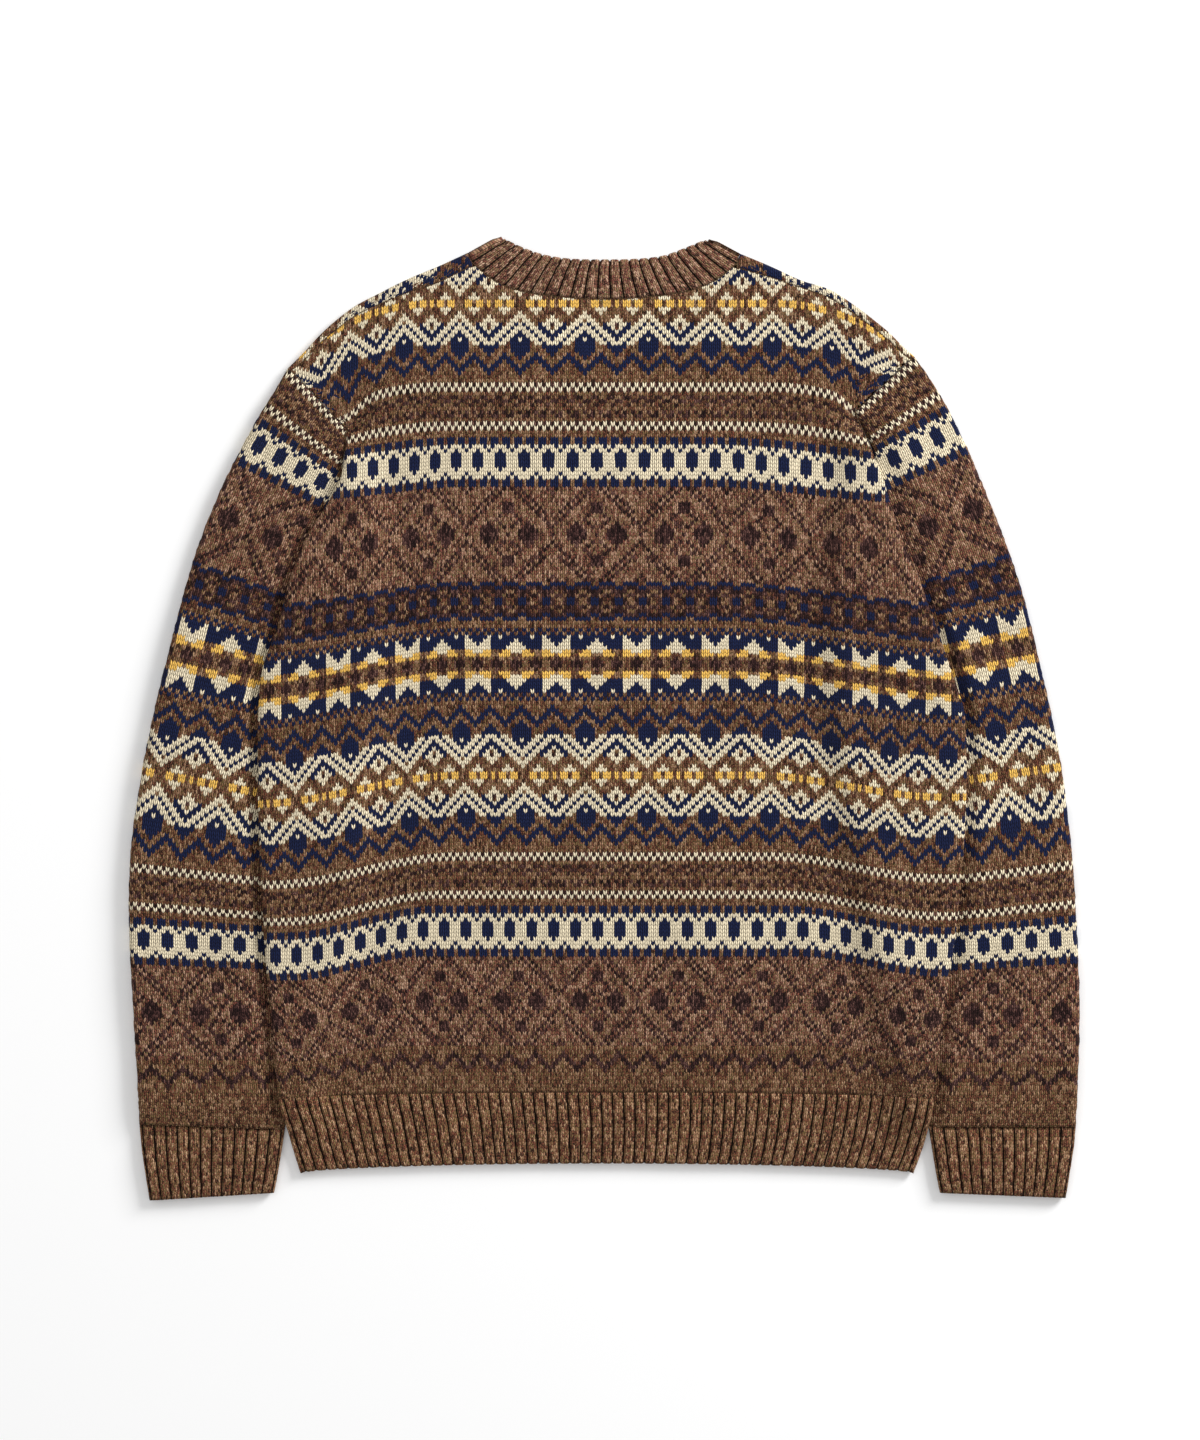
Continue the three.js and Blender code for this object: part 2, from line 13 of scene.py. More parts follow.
import bmesh  # noqa: E402
import bpy  # noqa: E402
import numpy as np  # noqa: E402
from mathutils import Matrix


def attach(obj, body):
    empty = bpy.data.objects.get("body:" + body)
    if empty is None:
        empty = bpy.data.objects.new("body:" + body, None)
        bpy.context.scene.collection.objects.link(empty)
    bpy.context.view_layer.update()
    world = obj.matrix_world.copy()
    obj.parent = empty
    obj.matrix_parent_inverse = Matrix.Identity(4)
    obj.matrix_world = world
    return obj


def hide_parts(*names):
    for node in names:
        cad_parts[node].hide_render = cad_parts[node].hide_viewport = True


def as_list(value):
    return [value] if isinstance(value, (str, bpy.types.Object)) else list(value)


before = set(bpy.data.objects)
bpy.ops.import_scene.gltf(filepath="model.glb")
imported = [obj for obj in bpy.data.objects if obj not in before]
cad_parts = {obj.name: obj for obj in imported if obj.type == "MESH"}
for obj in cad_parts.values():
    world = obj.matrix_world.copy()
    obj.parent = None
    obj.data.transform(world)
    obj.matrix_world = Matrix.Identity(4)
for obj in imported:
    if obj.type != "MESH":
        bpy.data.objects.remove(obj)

log = logging.getLogger("jumper")

MM = 0.001
BODY = "root"

# Knitting
WALE = 3.15  # width of one stitch
WALE_SHIFT = -7.5  # X of wale 0 in the body
BODY_WALES = (-100, 106)  # first wale of the body, and the one after its last
COURSE = 2.93  # height of one stitch
WALL = 3.0
SEAM = 0.3
FLECK = 0.87  # coarser than a real wool fibre of 0.03 mm, so that flecks show from the camera
CLUMP = 3.85  # patch of one shade, a little over one stitch
CLOUD = 45.0  # lighter and darker area of the cloth
RIB_WALES = 3  # two knit wales on the ridge and one purl wale in the valley
RIB_DEPTH = 2.2
RIB_COURSES = 20  # mesh rows in a hem rib or a cuff
RIB_SPLIT = 10  # mesh columns in one rib
RIB_VALLEY = 0.11  # half width of a valley, as a share of a rib
RIB_SHOULDER = 0.3  # how far a ridge sinks towards its valley, as a share of the depth
RIB_LINE = (0.1, 0.07)  # depth and half width of the line between two wales, as such shares
UNDERSIDE_RIB = 0.2  # share of the depth on a side that rests on something
HEM_RIBS = 58
CUFF_RIBS = 13
COLLAR_BACK_RIBS = 22
COLLAR_FRONT_RIBS = 26

# Lie of the jumper, the same as in the CAD
SHOULDER_STEP = WALL + SEAM
SLEEVE_HEIGHT = 8.0
BODY_RAMP = 30.0
RAMP_LEAD = 9.0
LIFT_FADE_TOP = 29.0
LIFT_FADE_HEM = (-345.0, -305.0)
HEM_SEAM = (-300.0, 5.0)  # height of the seam above the hem rib at its ends, and its rise in the middle
HEM_EDGE = (-359.0, 8.0)
HEM_LENGTH = 59.0
HEM_SCALLOP = 0.9  # how far the free edge draws in at a valley
FOLD_REACH = 7.0  # width over which a side edge rounds
FOLD_SINK = 2.2
SEAM_REACH = 4.0
SEAM_SINK = 0.35
CLOSE_SEAM = 0.06  # gap that is left where the CAD has SEAM
NECK_CORNER = 106.5
COLLAR_END = 103.5  # distance across to the last point of the collar seam that lies flat
COLLAR_LEAN = 2.75  # slope of the collar seam from there to its fold

# Body edge as (height, left, right), distances from the middle line
SIDE_EDGE = (
    (-359, 239, 243), (-340, 245, 250), (-325, 249, 254), (-300, 256, 259), (-254, 260, 263),
    (-190, 266, 273), (-100, 271, 282), (0, 272, 283), (40, 268, 271), (70, 257, 261),
    (105, 248, 248), (141, 234, 233), (170, 216, 224), (192, 206, 217),
)
ARMHOLE_CORNER = {-1: (-203.0, 226.0), 1: (197.0, 240.0)}
ARMHOLE_TIP = {-1: (-249.0, 275.0), 1: (244.0, 284.0)}

# Shoulder as (distance from the middle, outline left, outline right, seam left, seam right)
SHOULDER = (
    (107, 366, 365, 354, 353), (131, 355, 355, 342, 346), (155, 345, 344, 334, 338),
    (177, 334, 337, 325, 330), (196, 324, 325, 316, 318), (212, 312, 313, 304, 306),
    (224, 301, 303, 294, 296), (236, 288, 291, 281, 285),
)

# Collar as (seam x, seam y, edge x, edge y), from the left fold to the right fold
BACK_COLLAR = (
    (-107, 366, -82, 380), (-103.5, 357.5, -78, 376), (-89, 345, -63, 369),
    (-68, 336, -46, 363.5), (-36, 331, -25, 360.5), (0, 329, 0, 360), (36, 331, 25, 360.5),
    (68, 336, 46, 363), (89, 345, 63, 369), (103.5, 356.5, 78, 375), (107, 365, 83, 378),
)
FRONT_COLLAR = (
    (-107, 366, -82, 380), (-103, 340, -77, 352), (-88, 311, -66, 331), (-60, 287, -45, 313),
    (0, 271, 0, 301), (60, 287, 45, 313), (88, 311, 66, 331), (103, 340, 77, 352),
    (107, 365, 83, 378),
)

# Sleeve sections along the knitted courses: outer fold, inner fold and height
LEFT_SLEEVE = (
    (-249, 275, -203, 226, 6.6), (-258, 260, -206.7, 198, 7), (-269, 242, -204, 172, 7.6),
    (-287, 210, -199, 140, 8), (-303, 177, -197, 103, 8), (-318, 140, -197, 68, 8),
    (-331, 98, -198, 34, 8), (-343, 52, -201, -8, 8), (-355, 2, -206, -45, 8),
    (-365, -48, -211, -88, 8), (-373, -108, -218, -131, 8), (-374, -168, -226, -176, 8),
    (-371, -228, -235, -231, 8), (-368, -280, -245, -281, 8), (-366, -320, -251.5, -324, 7.4),
)
RIGHT_SLEEVE = (
    (244, 284, 197, 240, 6.6), (258, 264, 211.5, 210, 7), (273, 238, 210, 184, 7.6),
    (289, 204, 204, 148, 8), (303, 170, 200, 106, 8), (316, 137, 199, 70, 8),
    (329, 98, 199, 36, 8), (341, 50, 202, -6, 8), (352, 2, 207, -44, 8),
    (361, -48, 213, -86, 8), (368, -108, 221, -130, 8), (372, -168, 230, -176, 8),
    (374, -228, 239, -231, 8), (373, -280, 249, -281, 8), (371, -322, 255, -322, 7.4),
)
LEFT_CUFF = (
    (-366, -320, -251.5, -324, 7.4), (-364, -340, -254, -341, 8.6),
    (-361, -361, -257, -359, 8.6), (-358, -380, -260, -374, 7.4),
)
RIGHT_CUFF = (
    (371, -322, 255, -322, 7.4), (369, -341, 258, -341, 8.6),
    (366, -360, 261, -359, 8.6), (363, -378, 264, -374, 7.4),
)

# Slope of the courses across each sleeve, as (height of their outer end, slope), from the cuff up
SLEEVE_SLOPE = {
    -1: ((-320, 0.035), (-280, 0.0), (-230, 0.02), (-168, 0.06), (-116, 0.11), (-44, 0.19),
         (24, 0.2), (90, 0.29), (119, 0.36), (200, 0.5), (232, 0.62), (244, 0.75), (260, 0.9), (275, 1.065)),
    1: ((-322, 0.0), (-280, 0.01), (-230, 0.03), (-168, 0.08), (-115, 0.13), (-46, 0.14),
        (28, 0.16), (83, 0.22), (120, 0.3), (202, 0.44), (247, 0.56), (264, 0.75), (284, 0.936)),
}
# Run along a sleeve for each drop below the first ticks of the body, both in millimetres
SLEEVE_RUN = (
    (0, 0), (42.8, 45), (82.1, 87.2), (156.8, 170), (198.6, 215), (244, 271.7), (308.9, 339.8),
    (369.4, 413), (411.4, 455), (451.5, 492.3), (525.4, 572), (539.6, 586), (557.7, 618),
)
SLEEVE_PLAIN = 11  # plain courses above the cuff
# Wale at which a repeat of that width starts on each sleeve, counted from the outer fold
SLEEVE_SHIFT = {-1: {16: -7, 20: -5, 6: -2}, 1: {16: 3, 20: -5, 6: 0}}

# Droop of the courses on each side, as (height, where it starts, where it ends, how far)
DROOP = {
    -1: ((-300, 170, 250, 5), (-270, 160, 245, 10.5), (-170, 140, 245, 20), (-107, 115, 262, 22),
         (40, 110, 290, 23), (180, 110, 230, 10.5), (380, 110, 230, 10.5)),
    1: ((-300, 170, 262, 5), (-270, 165, 262, 11.5), (-170, 150, 262, 16), (-107, 130, 262, 17),
        (0, 110, 265, 17), (40, 95, 300, 19.5), (180, 80, 250, 13.5), (380, 80, 250, 13.5)),
}
SHOULDER_DROOP = ((215, 22), (250, 31), (300, 33), (380, 33))
SHOULDER_SPAN = (130, 230)  # where that droop starts and where it is reached

SHOULDER_CURVE = 2.2  # how late the droop sets in across that span
SHOULDER_BLEND = (200, 255)  # heights between which the shoulder's droop takes over
ARMHOLE_PULL = 9.0  # how far the armhole seam pulls the courses beside it down
ARMHOLE_PULL_SPAN = (180, 203)
ARMHOLE_PULL_LEVEL = (262, 17)  # height where it is strongest, and its reach

# Where the wales lie across, from their place at an even gauge, at the star and at the lower ovals
SPREAD_HIGH = {
    -1: ((0, 0), (90, 90), (160, 152), (226, 208.5), (340, 307)),
    1: ((0, 0), (90, 88.5), (152, 147.2), (215, 204.9), (340, 319)),
}
SPREAD_LOW = {
    -1: ((0, 0), (70, 64), (137, 125), (232, 208), (340, 302)),
    1: ((0, 0), (70, 65.5), (163, 155), (258, 239), (340, 313)),
}
SPREAD_BLEND = (-150, 40)  # heights between which the upper one takes over
NARROWING = ((-300, 0.93), (-270, 0.94), (-225, 0.97), (-170, 1.0))

# Trimming of the panels at their seams
TRIM_REACH = (20, 30)  # how far below and above the courses a seam is looked for
TRIM_STEP = 0.5
STRIP_SHARES = (0.0, 0.08, 0.2, 0.34, 0.56, 0.8, 1.0)  # mesh rows across the roll of a shoulder

# Upper side of a sleeve beside the body
ARM_TUCK = 0.9  # closes the slit beside the armhole corner
ARM_TUCK_SPAN = (165, 195)
LOW_SPAN = (60, 160)  # heights between which the lower shape fades into the upper one
UNDERARM_SPAN = (190, 230)
CUFF_SPAN = (-335, -300)
TROUGH_DEPTH = 1.3  # doubled on the lower sleeve
TROUGH_REACH = 7
TROUGH_END = -8
SWELL = 2.2
SWELL_REACH = 26
SWELL_INSIDE = (-1.5, 2.4)  # how far the inner wall follows

Array = np.ndarray
Value = Union[float, Array]


class Yarn(Enum):
    """Yarns of the jumper, in the order in which the material tells them apart."""

    HEATHER = 0
    DARK = 1
    NAVY = 2
    CREAM = 3
    GOLD = 4
    ROSE = 5


LEGEND = {".": Yarn.HEATHER, "d": Yarn.DARK, "n": Yarn.NAVY, "c": Yarn.CREAM, "g": Yarn.GOLD, "r": Yarn.ROSE}

# Charts, from the collar down, each row one repeat across
HALF_DIAMOND = (
    ".gg.g.gg.gg...gg", "cc.....ccc.....c", "c.......c...c...", "....c......ccc..",
    "...ccc....cc.cc.", ".nccdccn.ccncncc", "cnnc.cnnccncccnc", "ccnncnnccnccnccn",
    "nccnnnccnccnnncc", "cnccnccnccnncnnc", "ccncccncc.nnnnn.", "..nnnnn...nnnnn.",
    "...nnn....nnnnn.", "n...n...n..nnn..", "nn.....nnn..n..n", ".nn...nn.nn...nn",
    "..nn.nn...nn.nn.", "...nnn.....nnn..", "....n.......n...",
)
TICKS = ("cd", "dc")
FINE_TICKS = ("n.", ".n")
PLAIN = (".",)
SPECKLE = ("....", "d..d", ".dd.", "d...", "....", ".d.d", "..dd", "....")
OVALS = (
    ".nn.nn", ".nn.nn", "ccncnc", "nccncc", "nncccn", "nncccn", "nncccn", "nncccn",
    "nccccc", "cccncc", "ccncnc", ".nn.nn", ".nn.nn",
)
CHAIN = (
    ".nnnn.", "nddddn", "dd..dd", "d.dd.d", "nd..dn", "nd..dn", "d.dd.d", "dd..dd",
    "nddddn", ".nnnn.",
)
STAR_HALF = (
    "nnnncnncnnnnncnncnnn", "cnnnnnnccnnnccnnnnnn", "ccnnnnncccncccnnnnnc",
    "cccnnnncccccccnnnncc", "ccgg...ggcccgg...ggc", "..ggg..ggg.ggg..ggg.",
)
STAR_MIDDLE = (
    "d....d....d....d....", "dd..ddd..ddd..ddd..d", "dd..ddd..ddd..ddd..d",
    "d....d....d....d....",
)
# A quarter of the lattice, from its middle row up and from its middle wale out
LATTICE_QUARTER = (
    "d..ddddd...d", "...ddddd....", ".d..ddd....d", "..d..d....d.", "...d.....d..",
    "..d.....d...", "dd.....d.d..", "dd....d.d...", "dd...d.d....", "....d.d.....",
    "...d.d......", "..d.d......d", ".d.d......d.",
)
ZIGZAG = ("....d...", "...ddd..", "..dd.dd.", ".dd...dd", "dd.....d", "d.......")


def mirrored(rows: Sequence[str]) -> tuple[str, ...]:
    """Turns a chart upside down.

    Args:
        rows: the chart from the collar down.

    Returns:
        The same rows from the hem up.
    """
    return tuple(reversed(rows))


def full_lattice() -> tuple[str, ...]:
    """Unfolds the quarter of the lattice, on its rosier heather ground.

    Returns:
        The whole repeat, 22 stitches wide and 25 rows high.
    """
    rows = [(row[:-1] + row[:0:-1]).replace(".", "r") for row in LATTICE_QUARTER]
    return mirrored(rows[1:]) + tuple(rows)


@dataclass(frozen=True)
class Band:
    """One band of the pattern on the back.

    Attributes:
        rows: its chart from the collar down.
        low: height of its lower edge at the middle of the back.
        shift: wale at which its repeat starts.
    """

    rows: tuple[str, ...]
    low: float
    shift: int = 0


STAR = STAR_HALF + STAR_MIDDLE + mirrored(STAR_HALF)
BODY_TOP = 380.2
BANDS = (
    Band(mirrored(HALF_DIAMOND), 324.6, 1),
    Band(HALF_DIAMOND, 268.4, 1),
    Band(PLAIN * 2, 262.5),
    Band(TICKS, 255.1),
    Band(SPECKLE, 231.9),
    Band(TICKS, 224.8),
    Band(PLAIN * 2, 219.7),
    Band(OVALS, 180.4),
    Band(full_lattice(), 105.7),
    Band(CHAIN, 75.1),
    Band(PLAIN * 2 + FINE_TICKS, 63.9),
    Band(STAR, 18.5),
    Band(FINE_TICKS + PLAIN, 9.0),
    Band(mirrored(HALF_DIAMOND), -46.4, 1),
    Band(HALF_DIAMOND, -101.8, 1),
    Band(PLAIN * 2, -106.9),
    Band(TICKS, -113.6),
    Band(SPECKLE, -137.2),
    Band(TICKS, -143.4),
    Band(PLAIN * 2, -148.9),
    Band(OVALS, -189.0),
    Band(full_lattice(), -259.0),
    Band(PLAIN, -262.9),
    Band(ZIGZAG, -279.9, 2),
    Band(PLAIN * 5, -295.2),
)
SLEEVE_FIRST_BAND = 3  # a sleeve starts with the first ticks


@dataclass
class Pattern:
    """Bands of colour as rows of stitches, from the hem up.

    Attributes:
        bands: the bands from the collar down.
        top: height of the upper edge of the first band.
        edges: heights of the courses, one more than there are rows.
        rows: chart row and shift of each course.
    """

    bands: Sequence[Band]
    top: float
    edges: Array = field(init=False)
    rows: list[tuple[str, int]] = field(init=False)

    def __post_init__(self) -> None:
        """Works out the height of each course and its row of the chart."""
        edges = [self.top]
        rows: list[tuple[str, int]] = []
        for band in self.bands:
            start = edges[-1]
            for i, row in enumerate(band.rows, 1):
                edges.append(start + (band.low - start) * i / len(band.rows))
                rows.append((row, band.shift))
        self.edges = np.array(edges[::-1])
        self.rows = rows[::-1]

    def yarns(self, wales: Array) -> Array:
        """Looks up the yarn of each stitch.

        Args:
            wales: whole numbers of the wales.

        Returns:
            Yarn numbers, one row for each course from the hem up.
        """
        return np.array(
            [[LEGEND[row[(int(w) - shift) % len(row)]].value for w in wales] for row, shift in self.rows],
            dtype=float,
        )


class Curve:
    """Smooth line through a short table, the same as the CAD reads it."""

    def __init__(self, at: Sequence[float], out: Sequence[float]) -> None:
        """Works out the slope at each point.

        Args:
            at: places of the points.
            out: heights of the line there.
        """
        self.at = np.array(at, float)
        self.out = np.array(out, float)
        inner = (self.out[2:] - self.out[:-2]) / (self.at[2:] - self.at[:-2])
        ends = np.diff(self.out)[[0, -1]] / np.diff(self.at)[[0, -1]]
        self.slope = np.concatenate([ends[:1], inner, ends[1:]])

    def __call__(self, value: Value) -> Array:
        """Reads the line.

        Args:
            value: where to read it.

        Returns:
            Its height there, held at both ends.
        """
        value = np.clip(value, self.at[0], self.at[-1])
        k = np.clip(np.searchsorted(self.at, value) - 1, 0, len(self.at) - 2)
        span = self.at[k + 1] - self.at[k]
        t = (value - self.at[k]) / span
        start = (1 + 2 * t) * (1 - t) ** 2 * self.out[k]
        end = t * t * (3 - 2 * t) * self.out[k + 1]
        return start + end + span * t * (1 - t) * ((1 - t) * self.slope[k] - t * self.slope[k + 1])


def smooth(value: Value, low: float, high: float) -> Array:
    """Rises smoothly from 0 at low to 1 at high.

    Args:
        value: where to read it.
        low: start of the rise.
        high: end of the rise.

    Returns:
        The share of the rise.
    """
    t = np.clip((np.asarray(value, float) - low) / (high - low), 0, 1)
    return t * t * (3 - 2 * t)


def round_off(distance: Array, reach: float, sink: float) -> Array:
    """Sinks a surface towards its edge along an ellipse.

    Args:
        distance: distance from the edge.
        reach: distance at which the sinking starts.
        sink: depth at the edge.

    Returns:
        The depth below the flat surface.
    """
    inside = np.clip(1 - distance / reach, 0, 1)
    return sink * (1 - np.sqrt(1 - inside**2))


def both_sides(left: Callable[[Array], Array], right: Callable[[Array], Array], x: Array, at: Array) -> Array:
    """Reads one line on the left of the middle and the other on the right.

    Args:
        left: line for negative x.
        right: line for positive x.
        x: where the point is.
        at: value to read the line at.

    Returns:
        The values read.
    """
    return np.where(x < 0, left(at), right(at))


class Outline:
    """Edges of the body, and its height over what it lies on."""

    def __init__(self) -> None:
        """Lays smooth lines through the tables of both sides."""
        heights = [row[0] for row in SIDE_EDGE]
        self.side: dict[int, Curve] = {}
        self.shoulder: dict[tuple[int, str], Curve] = {}
        self.fold: dict[int, Curve] = {}
        for side, column in ((-1, 1), (1, 2)):
            corner, tip = ARMHOLE_CORNER[side], ARMHOLE_TIP[side]
            across = [row[column] for row in SIDE_EDGE] + [abs(corner[0])]
            self.side[side] = Curve(heights + [corner[1]], across)
            down = np.subtract(corner, tip)
            seam_end = np.add(tip, down / np.hypot(*down) * SHOULDER_STEP)
            for line, end, skip in (("outline", tip, 0), ("seam", seam_end, 2)):
                xs = [row[0] for row in SHOULDER] + [abs(end[0])]
                ys = [row[column + skip] for row in SHOULDER] + [end[1]]
                self.shoulder[side, line] = Curve(xs, ys)
            rows = (LEFT_SLEEVE if side < 0 else RIGHT_SLEEVE)[::-1]
            self.fold[side] = Curve([row[3] for row in rows], [abs(row[2]) for row in rows])
        neck = BACK_COLLAR[1:-1]
        self.back_neck = Curve([row[0] for row in neck], [row[1] - SEAM for row in neck])
        self.front_neck = Curve([row[0] for row in FRONT_COLLAR], [row[1] - SEAM for row in FRONT_COLLAR])

    def edge(self, side: int, y: Array) -> Array:
        """Reads the side edge below the armhole corner and the armhole above it.

        Args:
            side: -1 for the left, 1 for the right.
            y: height.

        Returns:
            Distance from the middle line.
        """
        corner, tip = ARMHOLE_CORNER[side], ARMHOLE_TIP[side]
        share = np.clip((y - corner[1]) / (tip[1] - corner[1]), 0, 1)
        armhole = abs(corner[0]) + share * (abs(tip[0]) - abs(corner[0]))
        return np.where(y > corner[1], armhole, self.side[side](y))

    def hem_arch(self, x: Array, ends: tuple[float, float], line: tuple[float, float]) -> Array:
        """Reads the seam above the hem rib, or its lower edge.

        Args:
            x: where to read it.
            ends: left and right end of the line.
            line: height at the sides, and rise in the middle.

        Returns:
            Height of the line.
        """
        share = np.clip((x + ends[0]) / (ends[0] + ends[1]), 0, 1)
        return line[0] + line[1] * np.sqrt(np.sin(math.pi * share).clip(0))

    def hem_seam(self, x: Array) -> Array:
        """Reads the seam between a panel and its hem rib at x."""
        ends = (float(self.edge(-1, HEM_SEAM[0])), float(self.edge(1, HEM_SEAM[0])))
        return self.hem_arch(x, ends, HEM_SEAM)

    def shoulder_line(self, x: Array, line: str) -> Array:
        """Reads the shoulder's outline or seam.

        Args:
            x: where to read it.
            line: "outline" or "seam".

        Returns:
            Height of the line.
        """
        return both_sides(self.shoulder[-1, line], self.shoulder[1, line], x, np.abs(x))

    def back_top(self, x: Array) -> Array:
        """Reads the upper edge of the back at x."""
        return np.where(np.abs(x) < BACK_COLLAR[-2][0], self.back_neck(x), self.shoulder_line(x, "seam"))

    def front_top(self, x: Array) -> Array:
        """Reads the upper edge of the front at x."""
        return np.where(np.abs(x) < NECK_CORNER, self.front_neck(x), self.shoulder_line(x, "outline"))

    def lift(self, x: Array, y: Array) -> Array:
        """Reads how high the body lies, over the surface and over the sleeves.

        Args:
            x: where to read it.
            y: height.

        Returns:
            Height of the underside of the front.
        """
        fold = both_sides(self.fold[-1], self.fold[1], x, y)
        across = smooth(np.abs(x) - fold, -RAMP_LEAD - BODY_RAMP, -RAMP_LEAD)
        corner = np.where(x < 0, ARMHOLE_CORNER[-1][1], ARMHOLE_CORNER[1][1])
        top = 1 - smooth(y - corner, -LIFT_FADE_TOP, 0)
        return (SLEEVE_HEIGHT + SEAM) * across * top * smooth(y, *LIFT_FADE_HEM)

    def side_gap(self, x: Array, y: Array) -> Array:
        """Distance of a point from the side edge of the body, in x."""
        return np.where(x < 0, x + self.edge(-1, y), self.edge(1, y) - x)


OUTLINE = Outline()


@dataclass(frozen=True)
class Crease:
    """Soft ridge or trough in the cloth.

    Attributes:
        start: one end.
        end: the other end.
        width: half of its width.
        height: rise of a ridge, or minus the depth of a trough.
    """

    start: tuple[float, float]
    end: tuple[float, float]
    width: float
    height: float


BACK_CREASES = (
    Crease((-186, 262), (-200, 214), 7, -1.2),
    Crease((190, 266), (203, 216), 7, -1.2),
    Crease((-168, 250), (-186, 196), 10, 0.9),
    Crease((170, 254), (188, 200), 10, 0.9),
    Crease((-255, -250), (-264, -70), 9, 0.9),
    Crease((-264, -70), (-258, 60), 8, 0.7),
    Crease((257, -245), (275, -60), 9, 0.8),
    Crease((275, -60), (259, 62), 8, 0.9),
)
SLEEVE_CREASES = {
    -1: (
        Crease((-262, 190), (-306, 150), 9, -1.0), Crease((-282, 96), (-330, 78), 10, 0.7),
        Crease((-302, -70), (-352, -96), 12, -0.8), Crease((-300, -214), (-350, -206), 11, 0.6),
    ),
    1: (
        Crease((266, 186), (308, 148), 9, -1.0), Crease((296, 70), (338, 40), 10, -0.7),
        Crease((306, -96), (356, -70), 12, 0.8), Crease((300, -226), (356, -240), 11, -0.6),
    ),
}


def relief(creases: Sequence[Crease], x: Array, y: Array) -> Array:
    """Adds up the creases of one cloth.

    Args:
        creases: the creases.
        x: where to read them.
        y: height.

    Returns:
        Rise of the cloth.
    """
    total = np.zeros(np.broadcast(x, y).shape)
    for crease in creases:
        (ax, ay), (bx, by) = crease.start, crease.end
        length = math.hypot(bx - ax, by - ay)
        along = ((x - ax) * (bx - ax) + (y - ay) * (by - ay)) / length**2
        nearest = np.clip(along, 0, 1)
        away = np.hypot(x - ax - nearest * (bx - ax), y - ay - nearest * (by - ay))
        fade = smooth(along, -0.3, 0.3) * (1 - smooth(along, 0.7, 1.3))
        total += crease.height * np.exp(-((away / crease.width) ** 2)) * fade
    return total


def spread(even: Array, level: Array) -> Array:
    """Finds where the wales lie across.

    Args:
        even: their places at an even gauge.
        level: height of the course in the middle.

    Returns:
        Distance from the middle line.
    """
    blend = smooth(level, *SPREAD_BLEND)
    sides = []
    for side in (-1, 1):
        high, low = (Curve(*np.transpose(table[side]))(np.abs(even)) for table in (SPREAD_HIGH, SPREAD_LOW))
        sides.append(side * (low + (high - low) * blend))
    return np.where(even < 0, *sides) * np.interp(level, *np.transpose(NARROWING))


def droop(level: Array, x: Array) -> Array:
    """Finds how far a course lies below its height in the middle.

    Args:
        level: height of the course in the middle.
        x: where to read it.

    Returns:
        The depth.
    """
    sides = []
    for side in (-1, 1):
        rows = np.transpose(DROOP[side])
        start, end, depth = (np.interp(level, rows[0], row) for row in rows[1:])
        sides.append(depth * smooth(np.abs(x), start, end))
    body = np.where(x < 0, *sides)
    share = np.clip((np.abs(x) - SHOULDER_SPAN[0]) / (SHOULDER_SPAN[1] - SHOULDER_SPAN[0]), 0, 1.1)
    shoulder = np.interp(level, *np.transpose(SHOULDER_DROOP)) * share**SHOULDER_CURVE
    away = (level - ARMHOLE_PULL_LEVEL[0]) / ARMHOLE_PULL_LEVEL[1]
    pull = ARMHOLE_PULL * smooth(np.abs(x), *ARMHOLE_PULL_SPAN) * np.exp(-(away**2))
    return body + (shoulder - body) * smooth(level, *SHOULDER_BLEND) + pull


def uneven(points: Array, plan: float = 0.3, rise: float = 0.2, share: Value = 1.0) -> Array:
    """Makes a surface a little uneven from stitch to stitch. Equal points stay equal.

    Args:
        points: points of the right side.
        plan: how far they shift across.
        rise: how far they rise or sink.
        share: share of this to take, less beside a seam.

    Returns:
        The shifted points.
    """
    # Waves of one stitch, and broad ones of about a hand's width
    x, y = points[..., 0], points[..., 1]
    first = np.sin(1.9 * x + 1.3 * np.sin(1.7 * y)) * np.sin(2.1 * y + 1.1 * np.sin(1.5 * x))
    second = np.sin(2.3 * y + 0.9 * np.sin(2.0 * x)) * np.sin(1.6 * x + 1.2 * np.sin(1.8 * y) + 1.0)
    broad = np.sin(x / 19 + 1.1 * np.sin(y / 31)) * np.sin(y / 23 + 0.8 * np.sin(x / 37))
    shift = np.stack([plan * first, plan * second, rise * (first + second + 1.8 * broad)], -1)
    return points + shift * np.asarray(share)[..., None]


